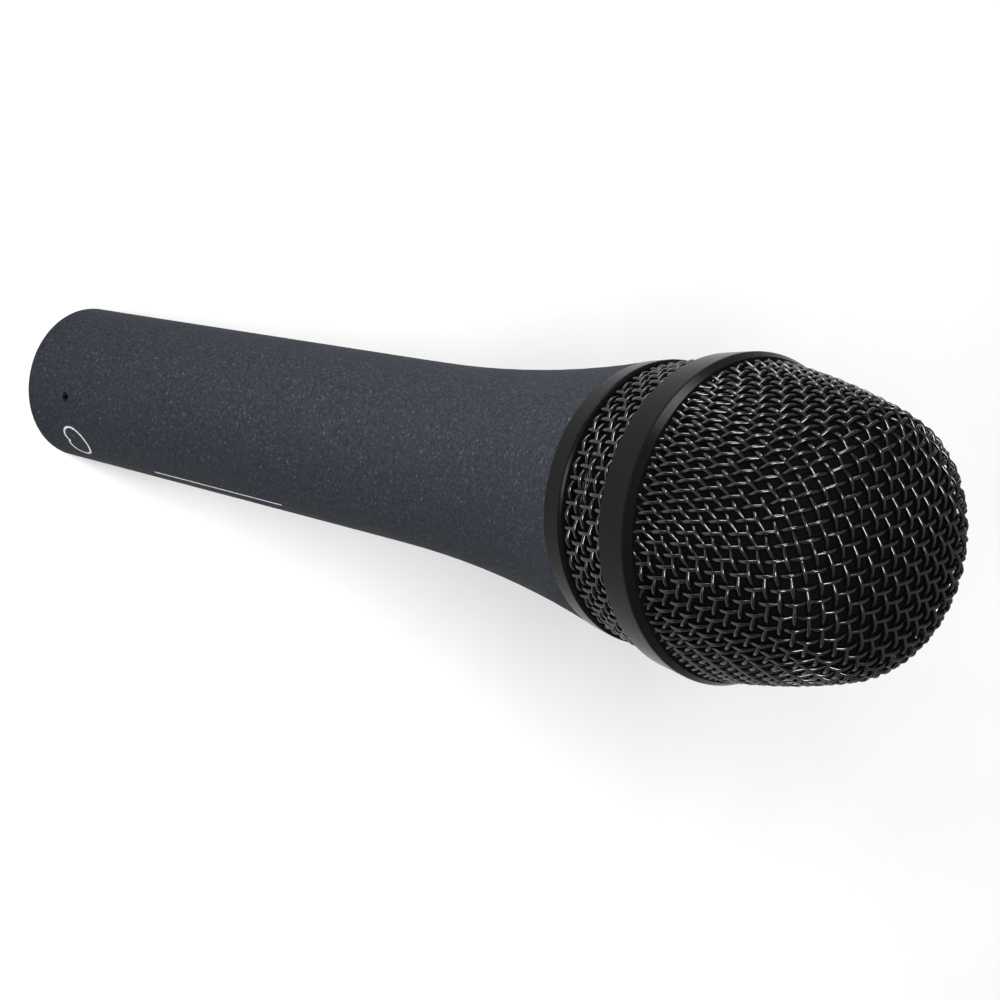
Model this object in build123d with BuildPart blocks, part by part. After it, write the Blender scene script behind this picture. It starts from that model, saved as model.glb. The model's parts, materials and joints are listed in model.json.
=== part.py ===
"""A handheld dynamic microphone, as an assembly of separate pieces.

Units are millimetres.  +Z runs along the microphone's axis from the connector end
(the origin is the centre of that end's face) to the front of the head.
"""

import os
from math import hypot, pi, sqrt, tan

from build123d import *

os.makedirs("parts", exist_ok=True)

# ---------------------------------------------------------------- driving dimensions
# Capsule: the moving-coil unit that everything in the neck and the head is sized around
CAPSULE_BORE = 11.2
CAPSULE_WALL = 1.4
CAPSULE_WEB = 1.6
CAPSULE_HEIGHT = 18.0
CAPSULE_WEB_BORE = 2.0
CAP_THICKNESS = 1.3
CAP_SKIRT_DEPTH = 1.4
CAP_SKIRT_WALL = 1.2
CAP_EDGE_CHAMFER = 0.4
CAP_MIDDLE_HOLE_RADIUS = 1.8
CAP_HOLE_RADIUS = 1.6
CAP_HOLE_COUNT = 6
CAP_HOLE_SHARE = 0.55  # the cap's ring of holes lies this share of the way out to its bore
CLOTH_MARGIN = 1.3
CLOTH_THICKNESS = 0.3
VENT_RADIUS = 0.7
VENT_COUNT = 8
SIDE_SLOT_LENGTH = 3.2
SIDE_SLOT_WIDTH = 1.4
SIDE_SLOT_LIFT = 3.2
SIDE_SLOT_PAIRS = 4
CHAMBER_RADIUS = 12.0
CHAMBER_WALL = 1.0
CHAMBER_LENGTH = 22.0
CHAMBER_EDGE_CHAMFER = 1.0
FELT_THICKNESS = 1.4
YOKE_CARRIER_WALL = 1.8
YOKE_CARRIER_HEIGHT = 3.0
YOKE_WALL = 1.4
YOKE_HEIGHT = 10.0
YOKE_BASE = 1.6
YOKE_EDGE_CHAMFER = 0.3
MAGNET_GAP = 1.4  # between the pole plate and the yoke
MAGNET_INSET = 0.4  # the magnet is this much smaller than its pole plate
MAGNET_HEIGHT = 6.0
POLE_HEIGHT = 2.0
COIL_CLEARANCE = 0.4
COIL_HEIGHT = 4.4
LEDGE_WIDTH = 1.5
LEDGE_HEIGHT = 1.4
DIAPHRAGM_MARGIN = 1.1
DIAPHRAGM_THICKNESS = 0.2
DIAPHRAGM_RISE = 1.6
SURROUND_HEIGHT = 1.0
SURROUND_EDGE = 0.2
SURROUND_HINGE = 0.6
SURROUND_CLAMP_MARGIN = 0.4
SURROUND_CLAMP_HEIGHT = 1.2
LUG_SPACING = 6.0
LUG_LENGTH = 2.4
LUG_WIDTH = 2.0
LUG_THICKNESS = 1.6
STRIP_THICKNESS = 1.2
STRIP_MARGIN = 5.0
STRIP_WIDTH = 4.6
STRIP_CORNER = 1.0

# Rubber isolator that carries the capsule in the neck
ISOLATOR_CLEARANCE = 0.9
ISOLATOR_WALL = 1.4
ISOLATOR_LIP = 1.3
ISOLATOR_HEIGHT = 8.0
ISOLATOR_FLANGE = 2.0
ISOLATOR_TOP_FLANGE = 1.0
ISOLATOR_CLAMP_GAP = 0.3
CAPSULE_FLANGE_MARGIN = 0.7

# Threaded collar that stands in the neck
THREAD_WALL = 1.6
THREAD_HEIGHT = 6.0
THREAD_CLEARANCE = 0.08
THREAD_EDGE_CHAMFER = 0.5
SPIGOT_STEP = 0.8
SPIGOT_DEPTH = 9.0
COLLAR_LEDGE = 1.6
MOUNT_SEAT_DEPTH = 4.5

# Handle
HANDLE_LENGTH = 128.5
TAIL_RADIUS = 12.0
HANDLE_SLOPE = 0.0235  # growth of the radius per millimetre along the straight taper
TAPER_LENGTH = 82.5  # where the straight taper turns into the neck's flare
NECK_LAND = 2.8  # width of the neck's face outside the thread
HANDLE_WALL = 1.8
TAIL_EDGE_ROUND = 0.5
NECK_EDGE_CHAMFER = 0.25

# Cable connector, a three-pin male insert in the handle's tail
SHELL_WALL = 1.45
SHELL_BORE_RADIUS = 8.15
SHELL_RECESS = 0.6  # the shell's mouth lies this far inside the tail
SHELL_LENGTH = 21.0
SHELL_MOUTH_CHAMFER = 0.4
CARRIER_FACE = 14.5
PIN_RADIUS = 1.18
PIN_SHANK_STEP = 0.27
PIN_CIRCLE_RADIUS = 3.81
PIN_TIP = 1.8
PIN_TIP_ROUND_SHARE = 0.8  # of the pin's radius
PIN_TAIL = 26.5
PIN_ANGLES = (0, 180, 270)
LATCH_WINDOW_WIDTH = 4.2
LATCH_WINDOW_LENGTH = 3.6
LATCH_WINDOW_START = 5.2
LATCH_WINDOW_CORNER = 0.5
KEY_WIDTH = 1.7
KEY_HEIGHT = 0.9
KEY_START = 1.5
WASHER_THICKNESS = 0.5
WASHER_CLEARANCE = 0.4
WASHER_OVERLAP = 0.6
WASHER_TAB_LENGTH = 4.8
WASHER_TAB_WIDTH = 2.2
WASHER_EYE_WALL = 0.7
SET_SCREW_HEIGHT = 10.0
SET_SCREW_ANGLE = -75.7
SET_SCREW_RADIUS = 0.8
SET_SCREW_DEPTH = 0.25
SET_SCREW_SOCKET_SHARE = 0.55  # of the screw's radius
SET_SCREW_SOCKET_DEPTH = 0.9

# Head
SEAM = 0.1  # gap between the handle and the head's first ring
BASE_RING_HEIGHT = 4.0
BASE_RING_STEP = 0.1
BASE_RING_LIP = 0.65
BASE_RING_CHAMFER = 0.4
BASE_RING_CHAMFER_WIDTH = 0.35
BASE_RING_LIP_ROUND = 0.3
LOWER_MESH_HEIGHT = 10.2
LOWER_MESH_STEP = 0.2
LOWER_MESH_FLARE = 2.5
MID_RING_HEIGHT = 7.0
MID_RING_STEP = 0.3
MID_RING_FLARE = 0.9
MID_RING_CHAMFER = 1.4
MID_RING_CHAMFER_WIDTH = 0.6
MID_RING_WALL = 1.5
MID_RING_LIP_ROUND = 0.6
DOME_HEIGHT = 30.2
DOME_STEP = 0.2  # the wire cloth comes out of the middle ring this far inside its lip
DOME_LEAN = 3.6  # degrees that the dome's side leans inwards at its rim
DOME_SIDE_ARC = 114.0
DOME_SHOULDER_ARC = 8.6
DOME_FRONT_ARC = 46.2
MESH_THICKNESS = 1.2
FOAM_GAP = 0.3
FOAM_THICKNESS = 2.4
FOAM_FOOT_GAP = 1.0
FOAM_FOOT_SHARE = 0.8  # the foam is squeezed to this share of its thickness at its foot
RING_EDGE_CHAMFER = 0.15

# Transformer and wiring inside the handle
TRANSFORMER_START = 44.0
CORE_WIDTH = 12.0
CORE_DEPTH = 9.0
CORE_HEIGHT = 15.0
CORE_EDGE_CHAMFER = 0.6
WINDING_LENGTH = 8.0
WINDING_WIDTH = 14.0
WINDING_DEPTH = 12.4
WINDING_CORNER = 2.0
BOOT_OVERLAP = 3.0
BOOT_FLUTE_RADIUS = 2.2
BOARD_HEIGHT = 96.0
BOARD_THICKNESS = 1.6
BOARD_CLEARANCE = 0.1
BOARD_HOLE_RADIUS = 2.0
BOARD_HOLE_COUNT = 4
BOARD_HOLE_SHARE = 0.72  # the board's holes lie this share of the way out
WIRE_RADIUS = 0.6
LEAD_RADIUS = 0.5
CORE_WIRE_OFFSET = 3.2
BEND_SHARE = 0.45  # a wire's bends take up to this share of the shorter run at each turn

# Bows of the wires: the share of the way along, then how far out to the side and across
SIGNAL_BOWS = ((0.5, 0.9, 0.8),)
BOARD_BOWS = ((0.36, 1.3, 1.5), (0.62, 0.9, -1.2))
LEAD_BOWS = ((0.5, 1.2, 0.8),)
SIGNAL_STRAIGHT_SHARE = 0.22  # of the way that is straight at each end
BOARD_STRAIGHT_SHARE = 0.17
LEAD_STRAIGHT_SHARE = 0.24

# ---------------------------------------------------------------- radii that follow
CAPSULE_RADIUS = CAPSULE_BORE + CAPSULE_WALL
YOKE_RADIUS = CAPSULE_BORE - YOKE_CARRIER_WALL
YOKE_BORE = YOKE_RADIUS - YOKE_WALL
POLE_RADIUS = YOKE_BORE - MAGNET_GAP
MAGNET_RADIUS = POLE_RADIUS - MAGNET_INSET
COIL_INNER_RADIUS = POLE_RADIUS + COIL_CLEARANCE
COIL_OUTER_RADIUS = YOKE_BORE - COIL_CLEARANCE
LEDGE_BORE = CAPSULE_BORE - LEDGE_WIDTH
DIAPHRAGM_RIM_RADIUS = LEDGE_BORE - DIAPHRAGM_MARGIN

ISOLATOR_BORE = CHAMBER_RADIUS + ISOLATOR_CLEARANCE
ISOLATOR_WEB_RADIUS = ISOLATOR_BORE + ISOLATOR_WALL
CAPSULE_FLANGE_RADIUS = max(ISOLATOR_WEB_RADIUS, CAPSULE_RADIUS) + CAPSULE_FLANGE_MARGIN
MOUNT_SEAT_RADIUS = ISOLATOR_WEB_RADIUS + ISOLATOR_LIP
COLLAR_BORE = MOUNT_SEAT_RADIUS - COLLAR_LEDGE
THREAD_RADIUS = MOUNT_SEAT_RADIUS + THREAD_WALL
SPIGOT_RADIUS = THREAD_RADIUS - SPIGOT_STEP
NECK_RADIUS = THREAD_RADIUS + NECK_LAND

SHELL_OUTER_RADIUS = SHELL_BORE_RADIUS + SHELL_WALL
PIN_SHANK_RADIUS = PIN_RADIUS + PIN_SHANK_STEP

BASE_RING_RADIUS = NECK_RADIUS + BASE_RING_STEP
BASE_RING_LIP_RADIUS = BASE_RING_RADIUS + BASE_RING_LIP
LOWER_MESH_START_RADIUS = BASE_RING_RADIUS + LOWER_MESH_STEP
LOWER_MESH_END_RADIUS = LOWER_MESH_START_RADIUS + LOWER_MESH_FLARE
MID_RING_BACK_RADIUS = LOWER_MESH_END_RADIUS + MID_RING_STEP
MID_RING_RADIUS = MID_RING_BACK_RADIUS + MID_RING_FLARE
MID_RING_LIP_RADIUS = MID_RING_RADIUS - MID_RING_CHAMFER_WIDTH
MID_RING_BORE = MID_RING_BACK_RADIUS - MID_RING_WALL
DOME_RIM_RADIUS = MID_RING_LIP_RADIUS - DOME_STEP

# ---------------------------------------------------------------- levels along the axis
NECK_FACE = HANDLE_LENGTH
COLLAR_TOP = NECK_FACE + THREAD_HEIGHT
BASE_RING_TOP = NECK_FACE + SEAM + BASE_RING_HEIGHT
MID_RING_BACK = BASE_RING_TOP + LOWER_MESH_HEIGHT
MID_RING_FRONT = MID_RING_BACK + MID_RING_HEIGHT
HEAD_TOP = MID_RING_FRONT + DOME_HEIGHT

MOUNT_SEAT = COLLAR_TOP - MOUNT_SEAT_DEPTH
CAPSULE_SEAT = MOUNT_SEAT + ISOLATOR_HEIGHT
YOKE_SEAT = CAPSULE_SEAT + CAPSULE_WEB
YOKE_TOP = YOKE_SEAT + YOKE_HEIGHT
LEDGE_TOP = YOKE_TOP + LEDGE_HEIGHT
RIM_LEVEL = LEDGE_TOP + SURROUND_HEIGHT
CAPSULE_FRONT = CAPSULE_SEAT + CAPSULE_HEIGHT
CHAMBER_BACK = CAPSULE_SEAT - CHAMBER_LENGTH


# ---------------------------------------------------------------- shared shapes
def neck_arc_radius():
    """Radius of the arc that leaves the taper tangentially and ends at the neck."""
    rise = NECK_RADIUS - (TAIL_RADIUS + HANDLE_SLOPE * TAPER_LENGTH)
    run = HANDLE_LENGTH - TAPER_LENGTH
    across = (rise - HANDLE_SLOPE * run) / hypot(1, HANDLE_SLOPE)
    return (rise**2 + run**2) / (2 * across)


def handle_radius(height):
    """Outer radius of the handle at a height above its tail."""
    if height <= TAPER_LENGTH:
        return TAIL_RADIUS + HANDLE_SLOPE * height
    radius = neck_arc_radius()
    slant = hypot(1, HANDLE_SLOPE)
    centre_r = TAIL_RADIUS + HANDLE_SLOPE * TAPER_LENGTH + radius / slant
    centre_z = TAPER_LENGTH - radius * HANDLE_SLOPE / slant
    return centre_r - sqrt(radius**2 - (height - centre_z) ** 2)


def cavity_radius(height):
    """Inner radius of the handle's wall at a height above its tail."""
    return handle_radius(height) - HANDLE_WALL


def dome_arcs():
    """Centres of the dome's side, shoulder and front arcs, which meet tangentially."""
    lean = Vector(1, 0, 0).rotate(Axis.Z, DOME_LEAN)
    side = Vector(DOME_RIM_RADIUS, MID_RING_FRONT) - lean * DOME_SIDE_ARC
    front = Vector(0, HEAD_TOP - DOME_FRONT_ARC)
    side_gap = DOME_SIDE_ARC - DOME_SHOULDER_ARC
    front_gap = DOME_FRONT_ARC - DOME_SHOULDER_ARC
    between = front - side
    span = between.length
    along = (side_gap**2 - front_gap**2 + span**2) / (2 * span)
    off = sqrt(side_gap**2 - along**2)
    unit = between.normalized()
    shoulder = side + unit * along + Vector(-unit.Y, unit.X) * off
    return side, shoulder, front


def on_arc(centre, radius, through):
    """The point at a radius from a centre, towards another point."""
    return centre + (through - centre).normalized() * radius


def draw_dome_arcs(depth):
    """Draw the dome's three arcs at a depth below its surface; gives the rim and the apex."""
    side, shoulder, front = dome_arcs()
    side_radius = DOME_SIDE_ARC - depth
    front_radius = DOME_FRONT_ARC - depth
    rim = Vector(side.X + sqrt(side_radius**2 - (MID_RING_FRONT - side.Y) ** 2), MID_RING_FRONT)
    first = on_arc(side, side_radius, shoulder)
    last = on_arc(front, front_radius, shoulder)
    apex = Vector(0, front.Y + front_radius)
    for centre, radius, start, end in (
        (side, side_radius, rim, first),
        (shoulder, DOME_SHOULDER_ARC - depth, first, last),
        (front, front_radius, last, apex),
    ):
        middle = on_arc(centre, radius, (start + end) * 0.5)
        ThreePointArc((start.X, start.Y), (middle.X, middle.Y), (end.X, end.Y))
    return rim, apex


def outline(*points):
    """A closed outline of (radius, height) points, ready to be revolved about the axis."""
    with BuildSketch(Plane.XZ) as profile:
        with BuildLine():
            Polyline(*points, close=True)
        make_face()
    return profile.sketch


def annulus(inner, outer, level):
    """A flat ring about the axis at a level, ready to be extruded."""
    with BuildSketch(Plane.XY.offset(level)) as profile:
        Circle(outer)
        Circle(inner, mode=Mode.SUBTRACT)
    return profile.sketch


def round_face(radius, level):
    """A flat disc about the axis at a level, ready to be extruded."""
    with BuildSketch(Plane.XY.offset(level)) as profile:
        Circle(radius)
    return profile.sketch


def bend_radii(points):
    """The largest arcs that a route's runs allow, from a share of the shorter run at each turn."""
    radii = []
    for before, here, after in zip(points, points[1:], points[2:]):
        run_in = Vector(here) - Vector(before)
        run_out = Vector(after) - Vector(here)
        half_turn = run_in.get_angle(run_out) / 2 * pi / 180
        radii.append(BEND_SHARE * min(run_in.length, run_out.length) / tan(half_turn))
    return radii


def round_wire(name, points, radius):
    """A round wire along straight runs joined by tangent arcs, written as its own piece."""
    radii = bend_radii(points)
    with BuildPart() as wire:
        with BuildLine():
            route = FilletPolyline(*points, radius=radii)
        with BuildSketch(Plane(origin=route @ 0, z_dir=route % 0)):
            Circle(radius)
        sweep(path=route)
    expected = pi * radius**2 * route.length
    shown = ", ".join(f"{r:.1f}" for r in radii)
    print(f"{name}: bends {shown} mm, volume {wire.part.volume / expected:.4f} of section x length")
    wire.part.label = name
    export_step(wire.part, f"parts/{name}.step")


# ---------------------------------------------------------------- handle
with BuildPart() as handle:
    with BuildSketch(Plane.XZ):
        with BuildLine():
            taper = Line((TAIL_RADIUS, 0), (handle_radius(TAPER_LENGTH), TAPER_LENGTH))
            flare = TangentArc(taper @ 1, (NECK_RADIUS, NECK_FACE), tangent=taper % 1)
            spigot_seat = NECK_FACE - SPIGOT_DEPTH
            shell_end = SHELL_RECESS + SHELL_LENGTH
            shoulder = shell_end + HANDLE_WALL
            wall_end = (cavity_radius(spigot_seat), spigot_seat)
            Polyline(flare @ 1, (SPIGOT_RADIUS, NECK_FACE), (SPIGOT_RADIUS, spigot_seat), wall_end)
            inner_turn = (cavity_radius(TAPER_LENGTH), TAPER_LENGTH)
            inner_taper = Line((cavity_radius(shoulder), shoulder), inner_turn)
            TangentArc(inner_taper @ 1, wall_end, tangent=inner_taper % 1)
            Polyline(
                inner_taper @ 0,
                (SHELL_OUTER_RADIUS, shell_end),
                (SHELL_OUTER_RADIUS, 0),
                (TAIL_RADIUS, 0),
            )
        make_face()
    revolve(axis=Axis.Z)
    tail_edge = handle.edges().filter_by(GeomType.CIRCLE).group_by(Axis.Z)[0].sort_by(SortBy.RADIUS)
    fillet(tail_edge[-1], radius=TAIL_EDGE_ROUND)
    neck_edge = handle.edges().filter_by(GeomType.CIRCLE).group_by(Axis.Z)[-1].sort_by(SortBy.RADIUS)
    chamfer(neck_edge[-1], length=NECK_EDGE_CHAMFER)
    screw_plane = Plane.XZ.rotated((0, 0, SET_SCREW_ANGLE + 90))
    with BuildSketch(screw_plane):
        with Locations((0, SET_SCREW_HEIGHT)):
            Circle(SET_SCREW_RADIUS)
    extrude(amount=2 * TAIL_RADIUS, mode=Mode.SUBTRACT)
handle.part.label = "handle"
export_step(handle.part, "parts/handle.step")

# ---------------------------------------------------------------- cable connector
with BuildPart() as xlr_shell:
    extrude(annulus(SHELL_BORE_RADIUS, SHELL_OUTER_RADIUS, SHELL_RECESS), amount=SHELL_LENGTH)
    mouth = xlr_shell.edges().filter_by(GeomType.CIRCLE).group_by(Axis.Z)[0].sort_by(SortBy.RADIUS)
    chamfer(mouth[0], length=SHELL_MOUTH_CHAMFER)
    with BuildSketch(Plane.XZ.offset(-SHELL_OUTER_RADIUS)):
        with Locations((0, LATCH_WINDOW_START + LATCH_WINDOW_LENGTH / 2)):
            RectangleRounded(LATCH_WINDOW_WIDTH, LATCH_WINDOW_LENGTH, LATCH_WINDOW_CORNER)
    extrude(amount=2 * SHELL_WALL, mode=Mode.SUBTRACT)
xlr_shell.part.label = "xlr_shell"
export_step(xlr_shell.part, "parts/xlr_shell.step")

with BuildPart() as xlr_carrier:
    carrier_back = SHELL_RECESS + SHELL_LENGTH
    extrude(round_face(SHELL_BORE_RADIUS, CARRIER_FACE), amount=carrier_back - CARRIER_FACE)
    with BuildSketch(Plane.XY.offset(SHELL_RECESS + KEY_START)):
        with Locations((0, -SHELL_BORE_RADIUS + KEY_HEIGHT / 2)):
            Rectangle(KEY_WIDTH, KEY_HEIGHT * 2)
        Circle(SHELL_BORE_RADIUS, mode=Mode.INTERSECT)
    extrude(amount=CARRIER_FACE - SHELL_RECESS - KEY_START)
    with BuildSketch(Plane.XY.offset(CARRIER_FACE)):
        for angle in PIN_ANGLES:
            with PolarLocations(PIN_CIRCLE_RADIUS, 1, start_angle=angle):
                Circle(PIN_SHANK_RADIUS)
    extrude(amount=carrier_back - CARRIER_FACE, mode=Mode.SUBTRACT)
xlr_carrier.part.label = "xlr_carrier"
export_step(xlr_carrier.part, "parts/xlr_carrier.step")

for number, angle in enumerate(PIN_ANGLES, start=1):
    with BuildPart() as xlr_pin:
        at = Vector(PIN_CIRCLE_RADIUS, 0, 0).rotate(Axis.Z, angle)
        with BuildSketch(Plane.XY.offset(PIN_TIP)):
            with Locations((at.X, at.Y)):
                Circle(PIN_RADIUS)
        extrude(amount=CARRIER_FACE - PIN_TIP)
        with BuildSketch(Plane.XY.offset(CARRIER_FACE)):
            with Locations((at.X, at.Y)):
                Circle(PIN_SHANK_RADIUS)
        extrude(amount=PIN_TAIL - CARRIER_FACE)
        tip = xlr_pin.edges().filter_by(GeomType.CIRCLE).sort_by(Axis.Z)[0]
        fillet(tip, radius=PIN_RADIUS * PIN_TIP_ROUND_SHARE)
    xlr_pin.part.label = f"xlr_pin_{number}"
    export_step(xlr_pin.part, f"parts/xlr_pin_{number}.step")

with BuildPart() as ground_washer:
    washer_seat = SHELL_RECESS + SHELL_LENGTH
    with BuildSketch(Plane.XY.offset(washer_seat)):
        Circle(SHELL_OUTER_RADIUS - WASHER_CLEARANCE)
        Circle(SHELL_BORE_RADIUS - WASHER_OVERLAP, mode=Mode.SUBTRACT)
        with Locations((PIN_CIRCLE_RADIUS + WASHER_TAB_LENGTH / 2, 0)):
            Rectangle(WASHER_TAB_LENGTH, WASHER_TAB_WIDTH)
        with Locations((PIN_CIRCLE_RADIUS, 0)):
            Circle(PIN_SHANK_RADIUS + WASHER_EYE_WALL)
            Circle(PIN_SHANK_RADIUS, mode=Mode.SUBTRACT)
    extrude(amount=WASHER_THICKNESS)
ground_washer.part.label = "ground_washer"
export_step(ground_washer.part, "parts/ground_washer.step")

with BuildPart() as set_screw:
    screw_face = handle_radius(SET_SCREW_HEIGHT) - SET_SCREW_DEPTH
    with BuildSketch(screw_plane.offset(SHELL_OUTER_RADIUS)):
        with Locations((0, SET_SCREW_HEIGHT)):
            Circle(SET_SCREW_RADIUS)
    extrude(amount=screw_face - SHELL_OUTER_RADIUS)
    with BuildSketch(screw_plane.offset(screw_face)):
        with Locations((0, SET_SCREW_HEIGHT)):
            RegularPolygon(SET_SCREW_RADIUS * SET_SCREW_SOCKET_SHARE, 6)
    extrude(amount=-SET_SCREW_SOCKET_DEPTH, mode=Mode.SUBTRACT)
    round_end = Cylinder(
        SHELL_OUTER_RADIUS,
        SHELL_LENGTH,
        align=(Align.CENTER, Align.CENTER, Align.MIN),
        mode=Mode.PRIVATE,
    )
    add(round_end, mode=Mode.SUBTRACT)
set_screw.part.label = "set_screw"
export_step(set_screw.part, "parts/set_screw.step")

# ---------------------------------------------------------------- collar and isolator
with BuildPart() as thread_collar:
    revolve(
        outline(
            (COLLAR_BORE, NECK_FACE - SPIGOT_DEPTH),
            (SPIGOT_RADIUS, NECK_FACE - SPIGOT_DEPTH),
            (SPIGOT_RADIUS, NECK_FACE),
            (THREAD_RADIUS, NECK_FACE),
            (THREAD_RADIUS, COLLAR_TOP - THREAD_EDGE_CHAMFER),
            (THREAD_RADIUS - THREAD_EDGE_CHAMFER, COLLAR_TOP),
            (MOUNT_SEAT_RADIUS, COLLAR_TOP),
            (MOUNT_SEAT_RADIUS, MOUNT_SEAT),
            (COLLAR_BORE, MOUNT_SEAT),
        ),
        axis=Axis.Z,
    )
thread_collar.part.label = "thread_collar"
export_step(thread_collar.part, "parts/thread_collar.step")

with BuildPart() as isolator:
    flange_top = MOUNT_SEAT + ISOLATOR_FLANGE
    top_flange = CAPSULE_SEAT - ISOLATOR_TOP_FLANGE
    revolve(
        outline(
            (ISOLATOR_BORE, MOUNT_SEAT),
            (MOUNT_SEAT_RADIUS, MOUNT_SEAT),
            (MOUNT_SEAT_RADIUS, flange_top),
            (ISOLATOR_WEB_RADIUS, flange_top),
            (ISOLATOR_WEB_RADIUS, top_flange),
            (CAPSULE_FLANGE_RADIUS, top_flange),
            (CAPSULE_FLANGE_RADIUS, CAPSULE_SEAT),
            (ISOLATOR_BORE, CAPSULE_SEAT),
        ),
        axis=Axis.Z,
    )
isolator.part.label = "isolator"
export_step(isolator.part, "parts/isolator.step")

with BuildPart() as isolator_clamp:
    clamp_height = MOUNT_SEAT_DEPTH - ISOLATOR_FLANGE
    clamp_bore = ISOLATOR_WEB_RADIUS + ISOLATOR_CLAMP_GAP
    clamp_face = annulus(clamp_bore, MOUNT_SEAT_RADIUS, COLLAR_TOP - clamp_height)
    extrude(clamp_face, amount=clamp_height)
isolator_clamp.part.label = "isolator_clamp"
export_step(isolator_clamp.part, "parts/isolator_clamp.step")

# ---------------------------------------------------------------- capsule
with BuildPart() as capsule_housing:
    revolve(
        outline(
            (CAPSULE_WEB_BORE, CAPSULE_SEAT),
            (CAPSULE_FLANGE_RADIUS, CAPSULE_SEAT),
            (CAPSULE_FLANGE_RADIUS, YOKE_SEAT),
            (CAPSULE_RADIUS, YOKE_SEAT),
            (CAPSULE_RADIUS, CAPSULE_FRONT),
            (CAPSULE_BORE, CAPSULE_FRONT),
            (CAPSULE_BORE, LEDGE_TOP),
            (LEDGE_BORE, LEDGE_TOP),
            (LEDGE_BORE, YOKE_TOP),
            (CAPSULE_BORE, YOKE_TOP),
            (CAPSULE_BORE, YOKE_SEAT),
            (CAPSULE_WEB_BORE, YOKE_SEAT),
        ),
        axis=Axis.Z,
    )
    with BuildSketch(Plane.XY.offset(CAPSULE_SEAT)):
        with PolarLocations((YOKE_RADIUS + CAPSULE_BORE) / 2, VENT_COUNT):
            Circle(VENT_RADIUS)
    extrude(amount=CAPSULE_WEB, mode=Mode.SUBTRACT)
    slot_turn = 180 / SIDE_SLOT_PAIRS
    for step in range(SIDE_SLOT_PAIRS):
        with BuildSketch(Plane.XZ.rotated((0, 0, slot_turn * (step + 0.5)))):
            with Locations((0, LEDGE_TOP + SIDE_SLOT_LIFT)):
                SlotOverall(SIDE_SLOT_LENGTH, SIDE_SLOT_WIDTH, rotation=90)
        extrude(amount=CAPSULE_FLANGE_RADIUS, both=True, mode=Mode.SUBTRACT)
capsule_housing.part.label = "capsule_housing"
export_step(capsule_housing.part, "parts/capsule_housing.step")

with BuildPart() as yoke_carrier:
    with BuildSketch(Plane.XY.offset(YOKE_SEAT)):
        Circle(CAPSULE_BORE)
        Circle(YOKE_RADIUS, mode=Mode.SUBTRACT)
        with PolarLocations((YOKE_RADIUS + CAPSULE_BORE) / 2, VENT_COUNT):
            Circle(VENT_RADIUS, mode=Mode.SUBTRACT)
    extrude(amount=YOKE_CARRIER_HEIGHT)
yoke_carrier.part.label = "yoke_carrier"
export_step(yoke_carrier.part, "parts/yoke_carrier.step")

with BuildPart() as magnet_yoke:
    revolve(
        outline(
            (0, YOKE_SEAT),
            (YOKE_RADIUS, YOKE_SEAT),
            (YOKE_RADIUS, YOKE_TOP - YOKE_EDGE_CHAMFER),
            (YOKE_RADIUS - YOKE_EDGE_CHAMFER, YOKE_TOP),
            (YOKE_BORE, YOKE_TOP),
            (YOKE_BORE, YOKE_SEAT + YOKE_BASE),
            (0, YOKE_SEAT + YOKE_BASE),
        ),
        axis=Axis.Z,
    )
magnet_yoke.part.label = "magnet_yoke"
export_step(magnet_yoke.part, "parts/magnet_yoke.step")

magnet_top = YOKE_SEAT + YOKE_BASE + MAGNET_HEIGHT
with BuildPart() as magnet:
    extrude(round_face(MAGNET_RADIUS, magnet_top - MAGNET_HEIGHT), amount=MAGNET_HEIGHT)
magnet.part.label = "magnet"
export_step(magnet.part, "parts/magnet.step")

with BuildPart() as pole_plate:
    extrude(round_face(POLE_RADIUS, magnet_top), amount=POLE_HEIGHT)
pole_plate.part.label = "pole_plate"
export_step(pole_plate.part, "parts/pole_plate.step")

with BuildPart() as voice_coil:
    coil_face = annulus(COIL_INNER_RADIUS, COIL_OUTER_RADIUS, RIM_LEVEL - COIL_HEIGHT)
    extrude(coil_face, amount=COIL_HEIGHT)
voice_coil.part.label = "voice_coil"
export_step(voice_coil.part, "parts/voice_coil.step")

with BuildPart() as diaphragm:
    dome_foot = (COIL_INNER_RADIUS, RIM_LEVEL)
    with BuildSketch(Plane.XZ):
        with BuildLine():
            Polyline(
                dome_foot,
                (DIAPHRAGM_RIM_RADIUS, RIM_LEVEL),
                (DIAPHRAGM_RIM_RADIUS, RIM_LEVEL + DIAPHRAGM_THICKNESS),
                (COIL_INNER_RADIUS, RIM_LEVEL + DIAPHRAGM_THICKNESS),
            )
            dome_arc = (COIL_INNER_RADIUS**2 + DIAPHRAGM_RISE**2) / (2 * DIAPHRAGM_RISE)
            outer_foot = (COIL_INNER_RADIUS, RIM_LEVEL + DIAPHRAGM_THICKNESS)
            outer_top = (0, RIM_LEVEL + DIAPHRAGM_THICKNESS + DIAPHRAGM_RISE)
            RadiusArc(outer_foot, outer_top, -dome_arc)
            Line(outer_top, (0, RIM_LEVEL + DIAPHRAGM_RISE))
            RadiusArc((0, RIM_LEVEL + DIAPHRAGM_RISE), dome_foot, dome_arc)
        make_face()
    revolve(axis=Axis.Z)
diaphragm.part.label = "diaphragm"
export_step(diaphragm.part, "parts/diaphragm.step")

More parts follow.
